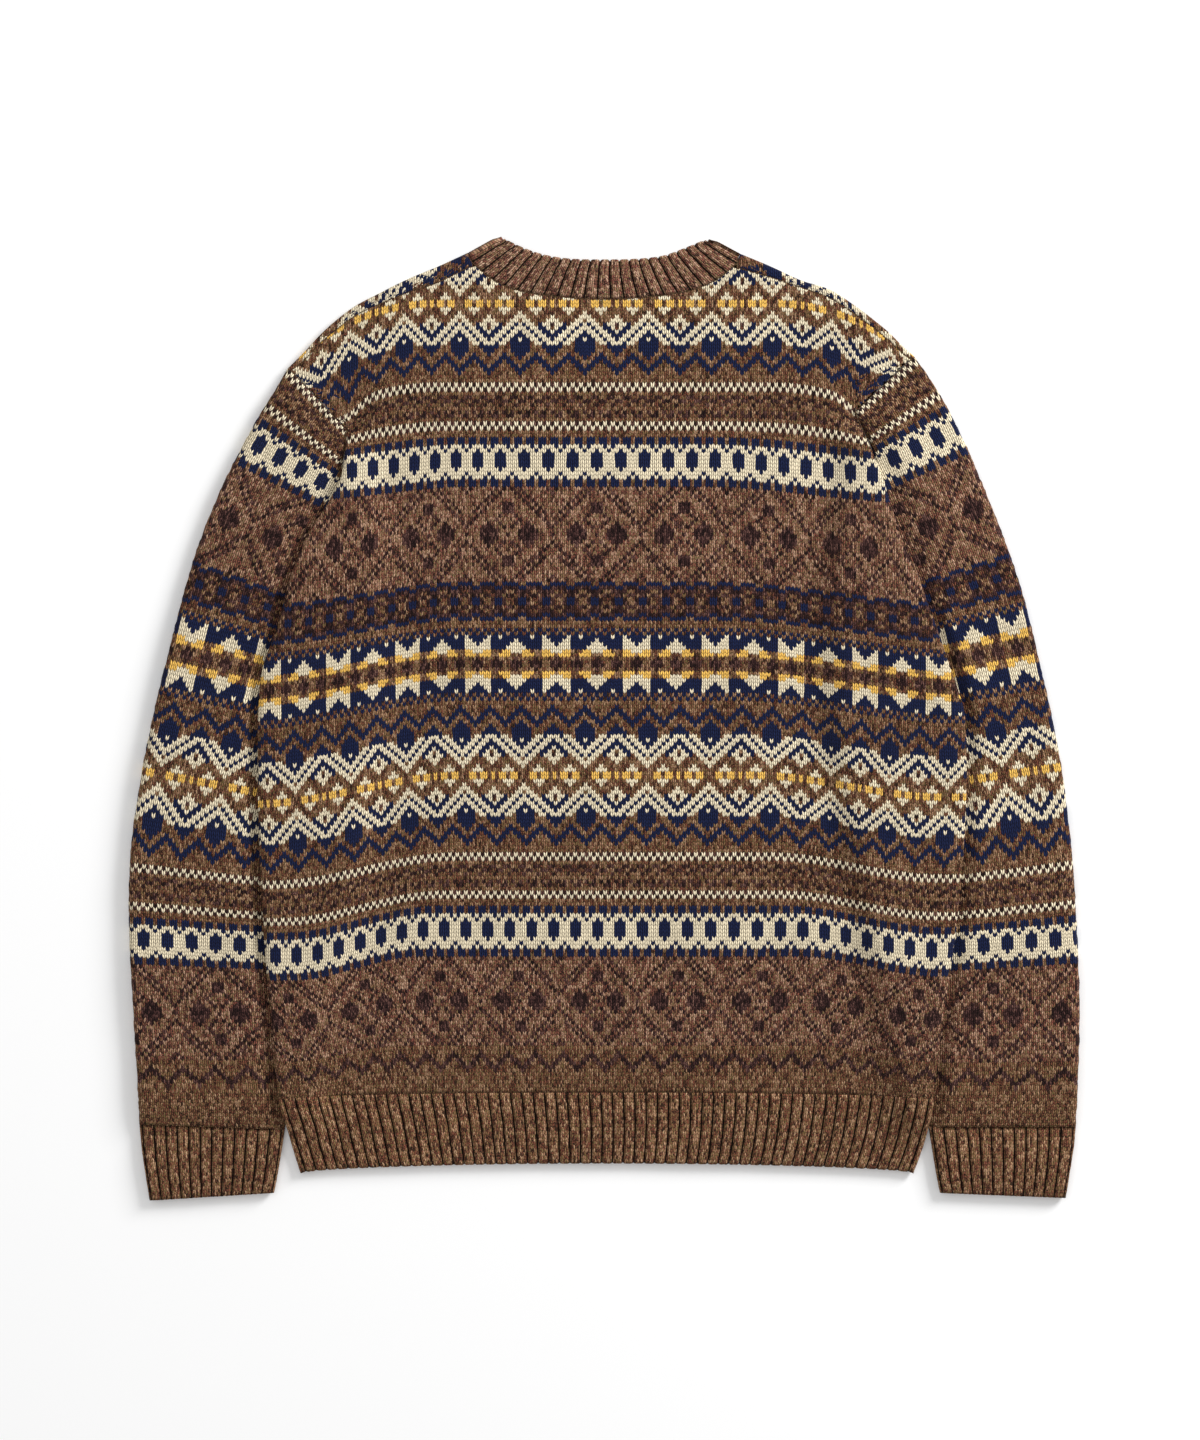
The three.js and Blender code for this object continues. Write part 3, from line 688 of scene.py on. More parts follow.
@dataclass
class Grid:
    """Points of one cloth on its grid of stitches, rows from the hem up.

    Attributes:
        outer: points of the right side.
        inner: points of the wrong side.
        uv: wale and course of each point.
        yarn: yarn number of each stitch.
        closed: whether the last column meets the first.
    """

    outer: Array
    inner: Array
    uv: Array
    yarn: Array
    closed: bool = False

    def faces(self) -> tuple[Array, Array, Array, Array]:
        """Splits the cloth into its faces.

        Returns:
            Corner points, corner stitch coordinates, yarn and yarn below, and which face is inside.
        """
        rows, columns = self.yarn.shape
        r, c = np.meshgrid(np.arange(rows), np.arange(columns), indexing="ij")
        loops = [(r, c), (r, c + 1), (r + 1, c + 1), (r + 1, c)]
        below = np.vstack([self.yarn[:1], self.yarn[:-1]])
        yarns = np.stack([self.yarn, below], axis=-1)
        points, uvs, colors, inside = [], [], [], []

        def take(sources: Sequence[Array], at: Sequence[tuple], stitch: Array, is_inside: float) -> None:
            """Adds one set of faces.

            Args:
                sources: points that each of the four corners is taken from.
                at: row and column of each corner.
                stitch: yarn and yarn below of each face.
                is_inside: 1 on the wrong side, else 0.
            """
            points.append(np.stack([s[i] for s, i in zip(sources, at)], axis=-2).reshape(-1, 4, 3))
            uvs.append(np.stack([self.uv[i] for i in at], axis=-2).reshape(-1, 4, 2))
            colors.append(stitch.reshape(-1, 2))
            inside.append(np.full(len(points[-1]), is_inside))

        take([self.outer] * 4, loops, yarns, 0)
        take([self.inner] * 4, loops[::-1], yarns, 1)
        rim = [self.inner, self.inner, self.outer, self.outer]
        k = np.arange(columns)
        for row, stitch_row in ((0, 0), (rows, rows - 1)):
            at = [(row, k), (row, k + 1), (row, k + 1), (row, k)]
            take(rim, at, yarns[stitch_row], 0)
        if not self.closed:
            k = np.arange(rows)
            for column, stitch_column in ((0, 0), (columns, columns - 1)):
                at = [(k, column), (k + 1, column), (k + 1, column), (k, column)]
                take(rim, at, yarns[:, stitch_column], 0)
        return tuple(np.concatenate(part) for part in (points, uvs, colors, inside))


def cloth_mesh(name: str, grids: Sequence[Grid]) -> bpy.types.Mesh:
    """Makes one closed mesh from the grids of a cloth.

    Args:
        name: name of the mesh.
        grids: its grids, in millimetres.

    Returns:
        The mesh in metres, with its stitch coordinates and the yarn of each face.
    """
    parts = [grid.faces() for grid in grids]
    points, uvs, yarns, inside = (np.concatenate([part[i] for part in parts]) for i in range(4))
    keys = np.round(points.reshape(-1, 3) * 1000).astype(np.int64)
    _, first, index = np.unique(keys, axis=0, return_index=True, return_inverse=True)
    corners = index.reshape(-1, 4)
    vertices = points.reshape(-1, 3)[first] * MM
    faces, face_uvs, kept = [], [], []
    for n, loop in enumerate(corners):
        keep = [i for i in range(4) if loop[i] != loop[i - 1]]
        if len(keep) < 3 or len({int(loop[i]) for i in keep}) < len(keep):
            continue
        faces.append([int(loop[i]) for i in keep])
        face_uvs.extend(uvs[n, i] for i in keep)
        kept.append(n)
    mesh = bpy.data.meshes.new(name)
    mesh.from_pydata(vertices.tolist(), [], faces)
    layer = mesh.uv_layers.new(name="stitches")
    layer.data.foreach_set("uv", np.array(face_uvs, np.float32).ravel())
    for label, values in (("yarn", yarns[kept, 0]), ("yarn_below", yarns[kept, 1])):
        attribute = mesh.attributes.new(label, "FLOAT", "FACE")
        attribute.data.foreach_set("value", values.astype(np.float32))
    mesh.polygons.foreach_set("material_index", inside[kept].astype(np.int32))
    mesh.polygons.foreach_set("use_smooth", np.ones(len(faces), bool))
    work = bmesh.new()
    work.from_mesh(mesh)
    bmesh.ops.recalc_face_normals(work, faces=work.faces)
    work.to_mesh(mesh)
    work.free()
    mesh.update()
    return mesh


Input = Union[float, Sequence[float], bpy.types.NodeSocket, bpy.types.Material]


@dataclass
class NodeBench:
    """Adds nodes to one tree.

    Attributes:
        tree: the node tree.
    """

    tree: bpy.types.NodeTree

    def add(
        self, kind: str, inputs: dict[Union[int, str], Input], out: Union[int, str] = 0, **settings: object
    ) -> Union[bpy.types.NodeSocket, bpy.types.Node]:
        """Adds one node.

        Args:
            kind: type of the node.
            inputs: links and values by socket.
            out: output to return.
            **settings: properties of the node.

        Returns:
            The chosen output socket, or the node if out is "node".
        """
        node = self.tree.nodes.new(kind)
        for key, value in settings.items():
            setattr(node, key, value)
        for key, value in inputs.items():
            if isinstance(value, bpy.types.NodeSocket):
                self.tree.links.new(value, node.inputs[key])
            else:
                node.inputs[key].default_value = value
        return node if out == "node" else node.outputs[out]

    @staticmethod
    def shade(
        ramp: bpy.types.ColorRamp, stops: Sequence[tuple[float, str]], interpolation: str = "LINEAR"
    ) -> None:
        """Sets the colours of a ramp.

        Args:
            ramp: the ramp.
            stops: position and colour of each stop.
            interpolation: how it goes from stop to stop.
        """
        ramp.interpolation = interpolation
        for _ in stops[2:]:
            ramp.elements.new(1.0)
        for element, (position, color) in zip(ramp.elements, stops):
            element.position = position
            element.color = linear(color)


def linear(color: str) -> tuple[float, float, float, float]:
    """Turns an sRGB hex colour into Blender's linear one.

    Args:
        color: such as "#7a5c45".

    Returns:
        Red, green, blue and alpha.
    """
    channels = [int(color[i : i + 2], 16) / 255 for i in (1, 3, 5)]
    flat = [c / 12.92 if c <= 0.04045 else ((c + 0.055) / 1.055) ** 2.4 for c in channels]
    return (*flat, 1.0)


MATH = "ShaderNodeMath"
MIX = "ShaderNodeMix"
HEATHER_SHADES = (
    (0.0, "#291b13"), (0.14, "#402c20"), (0.25, "#573d2c"), (0.34, "#8e4239"), (0.42, "#6b4b39"),
    (0.51, "#55572d"), (0.6, "#6d643a"), (0.68, "#8c5346"), (0.8, "#926f55"), (1.0, "#ab8c6c"),
)
DARK_SHADES = (
    (0.0, "#160c0d"), (0.3, "#2b191a"), (0.55, "#3e2725"), (0.75, "#513532"), (0.9, "#63443e"),
    (1.0, "#79594e"),
)
DYED_COLORS = {Yarn.NAVY: "#161f3f", Yarn.CREAM: "#e6d7b8", Yarn.GOLD: "#ecba5c"}
ROSE_TINT = (1.24, 1.25, 1.42, 1.0)  # of the rosier heather, over the plain one
COLLAR_TINT = (1.0, 1.04, 1.22, 1.0)  # a little less yellow than on the panels
SHEEN_COLOR = "#a58a6c"


@dataclass(frozen=True)
class KnitFinish:
    """Look of one knitted surface.

    Attributes:
        name: name of the material.
        shades: shades of the heather ground.
        patterned: whether the yarns of the charts show.
        ribbed: whether every third wale lies in a valley.
        wrong_side: whether it shows the floats of the wrong side.
        lean: how far the sides of a stitch rise over its middle.
        gap: how dark the painted shade between the strands is, 0 to 1.
        relief: depth of the strands in millimetres.
        sheen: weight of the sheen.
        lift: how much lighter the same yarn is drawn than on the panels, by multiplying its colour.
        tint: red, green, blue and alpha that the heather is multiplied by.
    """

    name: str
    shades: tuple[tuple[float, str], ...]
    patterned: bool = True
    ribbed: bool = False
    wrong_side: bool = False
    lean: float = 0.6
    gap: float = 0.8
    relief: float = 1.1
    sheen: float = 0.1
    lift: float = 1.0
    tint: tuple[float, float, float, float] = (1.0, 1.0, 1.0, 1.0)

    def material(self) -> bpy.types.Material:
        """Builds the material.

        Returns:
            A node material that reads the stitch coordinates and the yarn of each face.
        """
        made = bpy.data.materials.new(self.name)
        made.use_nodes = True
        tree = made.node_tree
        tree.nodes.clear()
        bench = NodeBench(tree)
        add = bench.add
        uv = add("ShaderNodeSeparateXYZ", {0: add("ShaderNodeUVMap", {}, uv_map="stitches")}, "node")
        u, v = uv.outputs[0], uv.outputs[1]
        local_u = add(MATH, {0: u}, operation="FRACT")
        local_v = add(MATH, {0: v}, operation="FRACT")
        middle = add(MATH, {0: local_u, 1: 0.5}, operation="SUBTRACT")
        spread = add(MATH, {0: add(MATH, {0: middle}, operation="ABSOLUTE"), 1: 2.0}, operation="MULTIPLY")
        lean = add(MATH, {0: spread, 1: 0.0 if self.wrong_side else self.lean}, operation="MULTIPLY")
        course = add(MATH, {0: v, 1: lean}, operation="SUBTRACT")
        along = add(MATH, {0: course}, operation="FRACT")
        own = add(MATH, {0: local_v, 1: lean}, operation="GREATER_THAN")
        stitch = add(
            "ShaderNodeCombineXYZ",
            {
                0: add(MATH, {0: add(MATH, {0: u, 1: 2.0}, operation="MULTIPLY")}, operation="FLOOR"),
                1: add(MATH, {0: course}, operation="FLOOR"),
            },
        )
        chance = add("ShaderNodeTexWhiteNoise", {"Vector": stitch}, noise_dimensions="3D")
        position = add("ShaderNodeTexCoord", {}, "Object")
        fibre = add("ShaderNodeTexNoise",
                    {"Vector": position, "Scale": 1 / (FLECK * MM), "Detail": 2.0, "Roughness": 0.6})
        clump = add("ShaderNodeTexNoise", {"Vector": position, "Scale": 1 / (CLUMP * MM), "Detail": 2.0})
        broad = add("ShaderNodeTexNoise", {"Vector": position, "Scale": 1 / (CLOUD * MM), "Detail": 2.0})

        # Strands: two legs in a stitch, rounded across and along
        leg = self._bulge(add, spread)
        length = self._bulge(add, along)
        strand = add(MATH, {0: leg, 1: add(MATH, {0: length, 1: 0.65, 2: 0.35}, operation="MULTIPLY_ADD")},
                     operation="MULTIPLY")

        # Heather ground, another blend of fibres in each leg of a stitch
        blend = add(MATH, {0: chance, 1: 0.85, 2: -0.95}, operation="MULTIPLY_ADD")
        blend = add(MATH, {0: fibre, 1: 1.8, 2: blend}, operation="MULTIPLY_ADD")
        blend = add(MATH, {0: clump, 1: 0.2, 2: blend}, operation="MULTIPLY_ADD")
        heather = add("ShaderNodeValToRGB", {0: blend}, "node")
        bench.shade(heather.color_ramp, self.shades)
        color = add(MIX, {0: 1.0, 6: heather.outputs[0], 7: self.tint}, 2,
                    data_type="RGBA", blend_type="MULTIPLY")
        if self.patterned:
            # Dyed yarns flat from the ramp, and the dark and rosier heathers mixed like the ground
            yarn = add("ShaderNodeAttribute", {}, "Fac", attribute_name="yarn")
            under = add("ShaderNodeAttribute", {}, "Fac", attribute_name="yarn_below")
            shown = add(MIX, {0: own, 2: under, 3: yarn})
            place = add(MATH, {0: shown, 1: 1 / len(Yarn), 2: 0.5 / len(Yarn)}, operation="MULTIPLY_ADD")
            plain = add("ShaderNodeValToRGB", {0: place}, "node")
            stops = [(kind.value / len(Yarn), shade) for kind, shade in DYED_COLORS.items()]
            bench.shade(plain.color_ramp, stops, "CONSTANT")
            tone = add(MATH, {0: chance, 1: 0.25, 2: 0.55}, operation="MULTIPLY_ADD")
            tone = add(MATH, {0: fibre, 1: 0.75, 2: tone}, operation="MULTIPLY_ADD")
            dyed = add(MIX, {0: 1.0, 6: plain.outputs[0], 7: tone}, 2,
                       data_type="RGBA", blend_type="MULTIPLY")
            dark = add("ShaderNodeValToRGB", {0: blend}, "node")
            bench.shade(dark.color_ramp, DARK_SHADES)
            is_dark = add(MATH, {0: shown, 1: float(Yarn.DARK.value), 2: 0.5}, operation="COMPARE")
            dyed = add(MIX, {0: is_dark, 6: dyed, 7: dark.outputs[0]}, 2, data_type="RGBA")
            rose = add(MIX, {0: 1.0, 6: color, 7: ROSE_TINT}, 2, data_type="RGBA", blend_type="MULTIPLY")
            is_rose = add(MATH, {0: shown, 1: float(Yarn.ROSE.value), 2: 0.5}, operation="COMPARE")
            dyed = add(MIX, {0: is_rose, 6: dyed, 7: rose}, 2, data_type="RGBA")
            is_dyed = add(MATH, {0: shown, 1: 0.5}, operation="GREATER_THAN")
            color = add(MIX, {0: is_dyed, 6: color, 7: dyed}, 2, data_type="RGBA")

        # Painted shade between the strands and in the valleys of a rib, painted light on the tops of the
        # strands, and broad random tone
        light = add("ShaderNodeMapRange", {0: strand, 1: 0.15, 2: 0.9, 3: (1.0 - self.gap) * self.lift,
                                            4: 1.2 * self.lift})
        light = add(MATH, {0: light, 1: add(MATH, {0: broad, 1: 0.3, 2: 0.85}, operation="MULTIPLY_ADD")},
                    operation="MULTIPLY")
        if self.ribbed:
            wale = add(MATH, {0: u, 1: 1 / RIB_WALES}, operation="MULTIPLY")
            phase = add(MATH, {0: wale}, operation="FRACT")
            off = add(MATH, {0: phase, 1: 0.5}, operation="SUBTRACT")
            off = add(MATH, {0: off}, operation="ABSOLUTE")
            # painted shade in the valleys of the rib
            valley = add("ShaderNodeMapRange", {0: off, 1: 0.37, 2: 0.455, 3: 1.0, 4: 0.04},
                         interpolation_type="SMOOTHSTEP")
            light = add(MATH, {0: light, 1: valley}, operation="MULTIPLY")
        color = add(MIX, {0: 1.0, 6: color, 7: light}, 2, data_type="RGBA", blend_type="MULTIPLY")

        rough = add(MATH, {0: fibre, 1: 0.15}, operation="MULTIPLY")
        height = add(MATH, {0: rough, 1: strand}, operation="ADD")
        bump = add("ShaderNodeBump", {"Strength": 1.0, "Distance": self.relief * MM, "Height": height})
        shader = add("ShaderNodeBsdfPrincipled", {"Base Color": color, "Normal": bump}, "node")
        for socket, value in (("Roughness", 0.95), ("Specular IOR Level", 0.12), ("Sheen Weight", self.sheen),
                              ("Sheen Roughness", 0.5), ("Sheen Tint", linear(SHEEN_COLOR))):
            shader.inputs[socket].default_value = value
        add("ShaderNodeOutputMaterial", {0: shader.outputs[0]}, "node")
        return made

    @staticmethod
    def _bulge(add: Callable, value: bpy.types.NodeSocket) -> bpy.types.NodeSocket:
        """Adds a half circle that is 0 where value is 0 or 1.

        Args:
            add: the function that adds a node.
            value: a socket from 0 to 1.

        Returns:
            The height of the half circle.
        """
        centred = add(MATH, {0: value, 1: 2.0, 2: -1.0}, operation="MULTIPLY_ADD")
        square = add(MATH, {0: centred, 1: centred}, operation="MULTIPLY")
        return add(MATH, {0: add(MATH, {0: 1.0, 1: square}, operation="SUBTRACT")}, operation="SQRT")


# Stranded wool of medium weight: matt, V-shaped stitches as wide and high as WALE and COURSE, a heather
# ground of mixed brown, red and olive fibres that is rosier in the lattice, flat dyed yarns, and a
# little fuzz from the sheen
COLOURWORK = KnitFinish("colourwork", HEATHER_SHADES)
# The same cloth from the wrong side: loose strands without the V of a stitch
FLOATS = KnitFinish("colourwork_inside", HEATHER_SHADES, wrong_side=True, gap=0.6)
# Two-and-one rib of the ground yarn: round ridges of two wales, and a narrow valley between them darkened by
# painted shade; lift draws the yarn lighter than on the panels
RIB = KnitFinish("rib", HEATHER_SHADES, patterned=False, ribbed=True, gap=0.6, lift=1.24)
# The same rib under less stretch, so its ridges are fuller: lift paints them lighter still, a painted
# highlight for the light they catch, and the tint makes them a little less yellow
COLLAR_RIB = KnitFinish(
    "collar_rib", HEATHER_SHADES, patterned=False, ribbed=True, gap=0.6, lift=1.46, tint=COLLAR_TINT
)
# Its wrong side, also used for the overcast seam yarn, which is the same wool
RIB_INSIDE = KnitFinish("rib_inside", HEATHER_SHADES, patterned=False, wrong_side=True, gap=0.6)


@dataclass(frozen=True)
class Cut:
    """Flat size of a cloth before it was sewn.

    Attributes:
        size: width and length in metres.
        area: flat area in square metres.
    """

    size: tuple[float, float]
    area: float


@dataclass
class Garment:
    """A sub-assembly of the jumper.

    Attributes:
        materials: those of the right side and of the inside, by name of the slot.
    """

    materials: dict[str, list[bpy.types.Material]]

    def place(self, node: str, grids: Sequence[Grid], slot: str, cut: Cut, rests_on: Sequence[str]) -> None:
        """Makes the cloth that stands for one CAD node.

        Args:
            node: name of the node.
            grids: grids of the cloth.
            slot: material slot of the record.
            cut: flat size of the cloth, not used.
            rests_on: what it lies on.
        """
        name = f"knit_{node}"
        piece = bpy.data.objects.new(name, cloth_mesh(name, grids))
        bpy.context.scene.collection.objects.link(piece)
        for material in self.materials[slot]:
            piece.data.materials.append(material)
        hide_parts(node)
        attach(piece, BODY)
        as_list(rests_on)
        log.info("%s: %d faces", name, len(piece.data.polygons))


@dataclass
class Body(Garment):
    """Back and front with their hem ribs.

    Attributes:
        pattern: bands of both panels.
    """

    pattern: Pattern = field(default_factory=lambda: Pattern(BANDS, BODY_TOP))

    @staticmethod
    def lay(even: Array, level: Array) -> tuple[Array, Array]:
        """Lays points of the even grid on the body, no farther out than its side edges.

        Args:
            even: place of the wale at an even gauge.
            level: height of the course in the middle.

        Returns:
            X and Y.
        """
        x = spread(even, level)
        y = level - droop(level, x)
        for _ in range(4):
            x = np.clip(x, -OUTLINE.edge(-1, y), OUTLINE.edge(1, y))
            y = level - droop(level, x)
        return x, y

    def layout(self, top: Callable[[Array], Array]) -> tuple[Array, Array, Array, Array]:
        """Lays the grid of stitches out and trims it at the seams.

        Args:
            top: upper edge of the panel at x.

        Returns:
            X, Y, stitch coordinates and yarn numbers.
        """
        wales = np.arange(*BODY_WALES)
        even = wales * WALE + WALE_SHIFT
        edges = self.pattern.edges
        fine = np.arange(edges[0] - TRIM_REACH[0], edges[-1] + TRIM_REACH[1], TRIM_STEP)
        x, y = self.lay(even, fine[:, None])

        def reached(gap: Array) -> Array:
            """Finds where each wale crosses a seam.

            Args:
                gap: distance from the seam at each fine level, one column for each wale.

            Returns:
                Level at which the distance turns positive.
            """
            k = np.argmax(gap > 0, axis=0).clip(1)
            before, after = (np.take_along_axis(gap, i[None], axis=0)[0] for i in (k - 1, k))
            return fine[k - 1] + TRIM_STEP * before / (before - after)

        lowest = reached(y - OUTLINE.hem_seam(x))
        level = np.clip(edges[:, None], lowest, reached(y - top(x)))
        level[0] = lowest
        x, y = self.lay(even, level)
        course = np.interp(level, edges, np.arange(len(edges)))
        free = spread(even, level)
        wale = np.array([np.interp(x[i], free[i], even) for i in range(len(edges))])
        uv = np.stack([(wale - WALE_SHIFT) / WALE, course], axis=-1)
        return x, y, uv, self.pattern.yarns(wales[:-1])

    def back(self) -> None:
        """Makes the back panel."""
        x, y, uv, yarn = self.layout(OUTLINE.back_top)
        low = OUTLINE.lift(x, y) + SHOULDER_STEP
        beside = self.side_sink(x, y)
        beside = np.maximum(beside, round_off(OUTLINE.back_top(x) - y, SEAM_REACH, SEAM_SINK))
        beside = np.maximum(beside, round_off(y - OUTLINE.hem_seam(x), SEAM_REACH, SEAM_SINK))
        high = low + WALL - beside + relief(BACK_CREASES, x, y)
        inset = np.minimum(OUTLINE.back_top(x) - y, y - OUTLINE.hem_seam(x))
        inset = np.where(y > 215, np.minimum(inset, OUTLINE.side_gap(x, y)), inset)
        outer = uneven(np.stack([x, y, high], -1), share=smooth(inset, 0, 5))
        grid = Grid(outer, np.stack([x, y, low], -1), uv, yarn)
        rests = ["knit_front_panel", "knit_left_sleeve", "knit_right_sleeve"]
        self.place("back_panel", [grid], "colourwork", Cut((0.566, 0.655), 0.33), rests)

    def side_sink(self, x: Array, y: Array) -> Array:
        """Depth that a panel sinks beside its side edge, or beside the armhole seam.

        Args:
            x: where to read it.
            y: height.

        Returns:
            The depth.
        """
        gap = OUTLINE.side_gap(x, y)
        corner = np.where(x < 0, ARMHOLE_CORNER[-1][1], ARMHOLE_CORNER[1][1])
        fold = round_off(gap, FOLD_REACH, FOLD_SINK)
        return np.where(y > corner, round_off(gap, SEAM_REACH, SEAM_SINK), fold)

    def front(self) -> None:
        """Makes the front panel, and the strips of it that roll over the shoulders."""
        x, y, uv, yarn = self.layout(OUTLINE.front_top)
        floor = OUTLINE.lift(x, y)
        rolled = np.abs(x) > NECK_CORNER
        gap = OUTLINE.front_top(x) - y
        half = SHOULDER_STEP / 2 + WALL / 2
        top_sink = np.where(rolled, round_off(gap, half, half), round_off(gap, SEAM_REACH, SEAM_SINK))
        side = np.where(y > ARMHOLE_CORNER[1][1], 0.0, self.side_sink(x, y))
        low = floor + np.maximum(side, top_sink)
        high = np.maximum(floor + WALL, low + 0.05)
        grids = [Grid(np.stack([x, y, low], -1), np.stack([x, y, high], -1), uv, yarn)]
        grids += [self.shoulder_strip(side) for side in (-1, 1)]
        rests = ["knit_left_sleeve", "knit_right_sleeve"]
        self.place("front_panel", grids, "colourwork", Cut((0.566, 0.666), 0.335), rests)

    def shoulder_strip(self, side: int) -> Grid:
        """Lays out the strip of the front between the shoulder's outline and its seam.

        Args:
            side: -1 for the left, 1 for the right.

        Returns:
            The grid of the strip.
        """
        span = sorted((side * (COLLAR_END + 0.2), ARMHOLE_TIP[side][0]))
        wales = np.arange(*BODY_WALES)
        x = spread(wales * WALE + WALE_SHIFT, np.array(BODY_TOP))
        x = np.concatenate([[span[0]], x[(x > span[0] + 0.2) & (x < span[1] - 0.2)], [span[1]]])
        outline = OUTLINE.shoulder_line(x, "outline")
        corner = BACK_COLLAR[1] if side < 0 else BACK_COLLAR[-2]
        outline = np.minimum(outline, corner[1] + (np.abs(x) - COLLAR_END) * COLLAR_LEAN)
        seam = np.minimum(OUTLINE.shoulder_line(x, "seam") + CLOSE_SEAM, outline - 0.05)
        half = (SHOULDER_STEP + WALL) / 2
        depth = (outline - seam) * np.array(STRIP_SHARES)[:, None]
        y = outline - depth
        high = half + half * np.sqrt(1 - np.clip(1 - depth / half, 0, 1) ** 2)
        high = high - round_off(y - seam, SEAM_REACH, SEAM_SINK) * smooth(depth, 0, 3)
        low = np.minimum(np.full_like(y, SHOULDER_STEP), high - 0.02)
        xx = np.broadcast_to(x, y.shape)
        edges = self.pattern.edges
        level = np.array([np.interp(o, edges - droop(edges, np.array(p)), edges) for p, o in zip(x, outline)])
        course = np.interp(level, edges, np.arange(len(edges))) + depth / COURSE
        free = spread(wales * WALE + WALE_SHIFT, np.array(BODY_TOP))
        wale = np.interp(xx, free, wales)
        uv = np.stack([wale, course], axis=-1)
        wales = np.floor((wale[0, 1:] + wale[0, :-1]) / 2)
        chart = self.pattern.yarns(wales)
        middle = np.clip(((course[1:, 1:] + course[:-1, :-1]) / 2).astype(int), 0, len(chart) - 1)
        yarn = np.take_along_axis(chart, middle, axis=0)
        return Grid(np.stack([xx, y, high], -1), np.stack([xx, y, low], -1), uv, yarn)

    def hem_rib(self, node: str, ribbed_up: bool) -> None:
        """Makes the hem rib of the back, or of the front below it.

        Args:
            node: name of the CAD node.
            ribbed_up: whether its right side is up.
        """
        columns = HEM_RIBS * RIB_SPLIT
        share = np.linspace(0, 1, columns + 1)
        t = np.linspace(1, CLOSE_SEAM / HEM_LENGTH, RIB_COURSES + 1)[:, None]
        side_y = HEM_SEAM[0] + (HEM_EDGE[0] - HEM_SEAM[0]) * t
        left, right = -OUTLINE.side[-1](side_y), OUTLINE.side[1](side_y)
        x = left + (right - left) * share
        arch = np.sqrt(np.sin(math.pi * share).clip(0))
        seam, edge = HEM_SEAM[0] + HEM_SEAM[1] * arch, HEM_EDGE[0] + HEM_EDGE[1] * arch
        phase = share * HEM_RIBS + 0.5
        y = seam + (edge - seam) * t + HEM_SCALLOP * rib_groove(phase) * smooth(t, 0.93, 1.0)
        floor = OUTLINE.lift(x, y) + (SHOULDER_STEP + SEAM if ribbed_up else 0.0)
        gap = np.minimum(x - left, right - x)
        ends = np.maximum(round_off(gap, 4, FOLD_SINK), round_off((1 - t) * HEM_LENGTH, 2.5, 1.0))
        ends = np.maximum(ends, SEAM * (1 - smooth((t - t[-1]) * HEM_LENGTH, 0, 5)))
        groove = rib_groove(phase) * rib_fade((t - t[-1]) * HEM_LENGTH, (1 - t) * HEM_LENGTH)
        if ribbed_up:
            outer_z = floor + WALL - np.maximum(ends, groove * RIB_DEPTH)
            inner_z = floor
        else:
            outer_z = floor + np.maximum(ends, groove * UNDERSIDE_RIB)
            inner_z = floor + WALL
        outer = np.stack([x, y, outer_z], -1)
        if ribbed_up:
            outer = uneven(outer, 0.15, 0.12, smooth((t - t[-1]) * HEM_LENGTH, 0, 4) + np.zeros_like(x))
        inner = np.stack([x, y, inner_z + np.zeros_like(x)], -1)
        uv = rib_uv(phase, RIB_COURSES)
        grid = Grid(outer, inner, uv, np.zeros((RIB_COURSES, columns)))
        rests = ["knit_front_hem_rib"] if ribbed_up else []
        self.place(node, [grid], "rib", Cut((0.515, 0.059), 0.0295), rests)


def rib_groove(phase: Array) -> Array:
    """Profile of a ribbed cloth, 1 in a valley and 0 on a ridge.

    Args:
        phase: number of ribs from the start.

    Returns:
        The depth, as a share of the deepest one.
    """
    off = np.abs((phase + 0.5) % 1 - 0.5)
    between = np.abs(phase % 1 - 0.5)
    ridge = RIB_SHOULDER * np.clip(1 - off / 0.5, 0, 1) ** 2
    line = RIB_LINE[0] * np.exp(-((between / RIB_LINE[1]) ** 2))
    return np.maximum(np.exp(-((off / RIB_VALLEY) ** 2)), ridge) + line


def rib_fade(from_seam: Array, from_edge: Array) -> Array:
    """Share of a rib's depth near the seam, where it starts, and near the plain bound edge.

    Args:
        from_seam: distance from the seam.
        from_edge: distance from the free edge.

    Returns:
        The share of the depth.
    """
    return smooth(from_seam, -1, 7) * (0.25 + 0.75 * smooth(from_edge, 2, 6))


def rib_uv(phase: Array, rows: int) -> Array:
    """Stitch coordinates of a ribbed cloth.

    Args:
        phase: number of ribs from the start, one for each column.
        rows: number of courses.

    Returns:
        Wale and course of each point.
    """
    wale, course = np.meshgrid(phase * RIB_WALES, np.arange(rows + 1))
    return np.stack([wale, course], axis=-1)


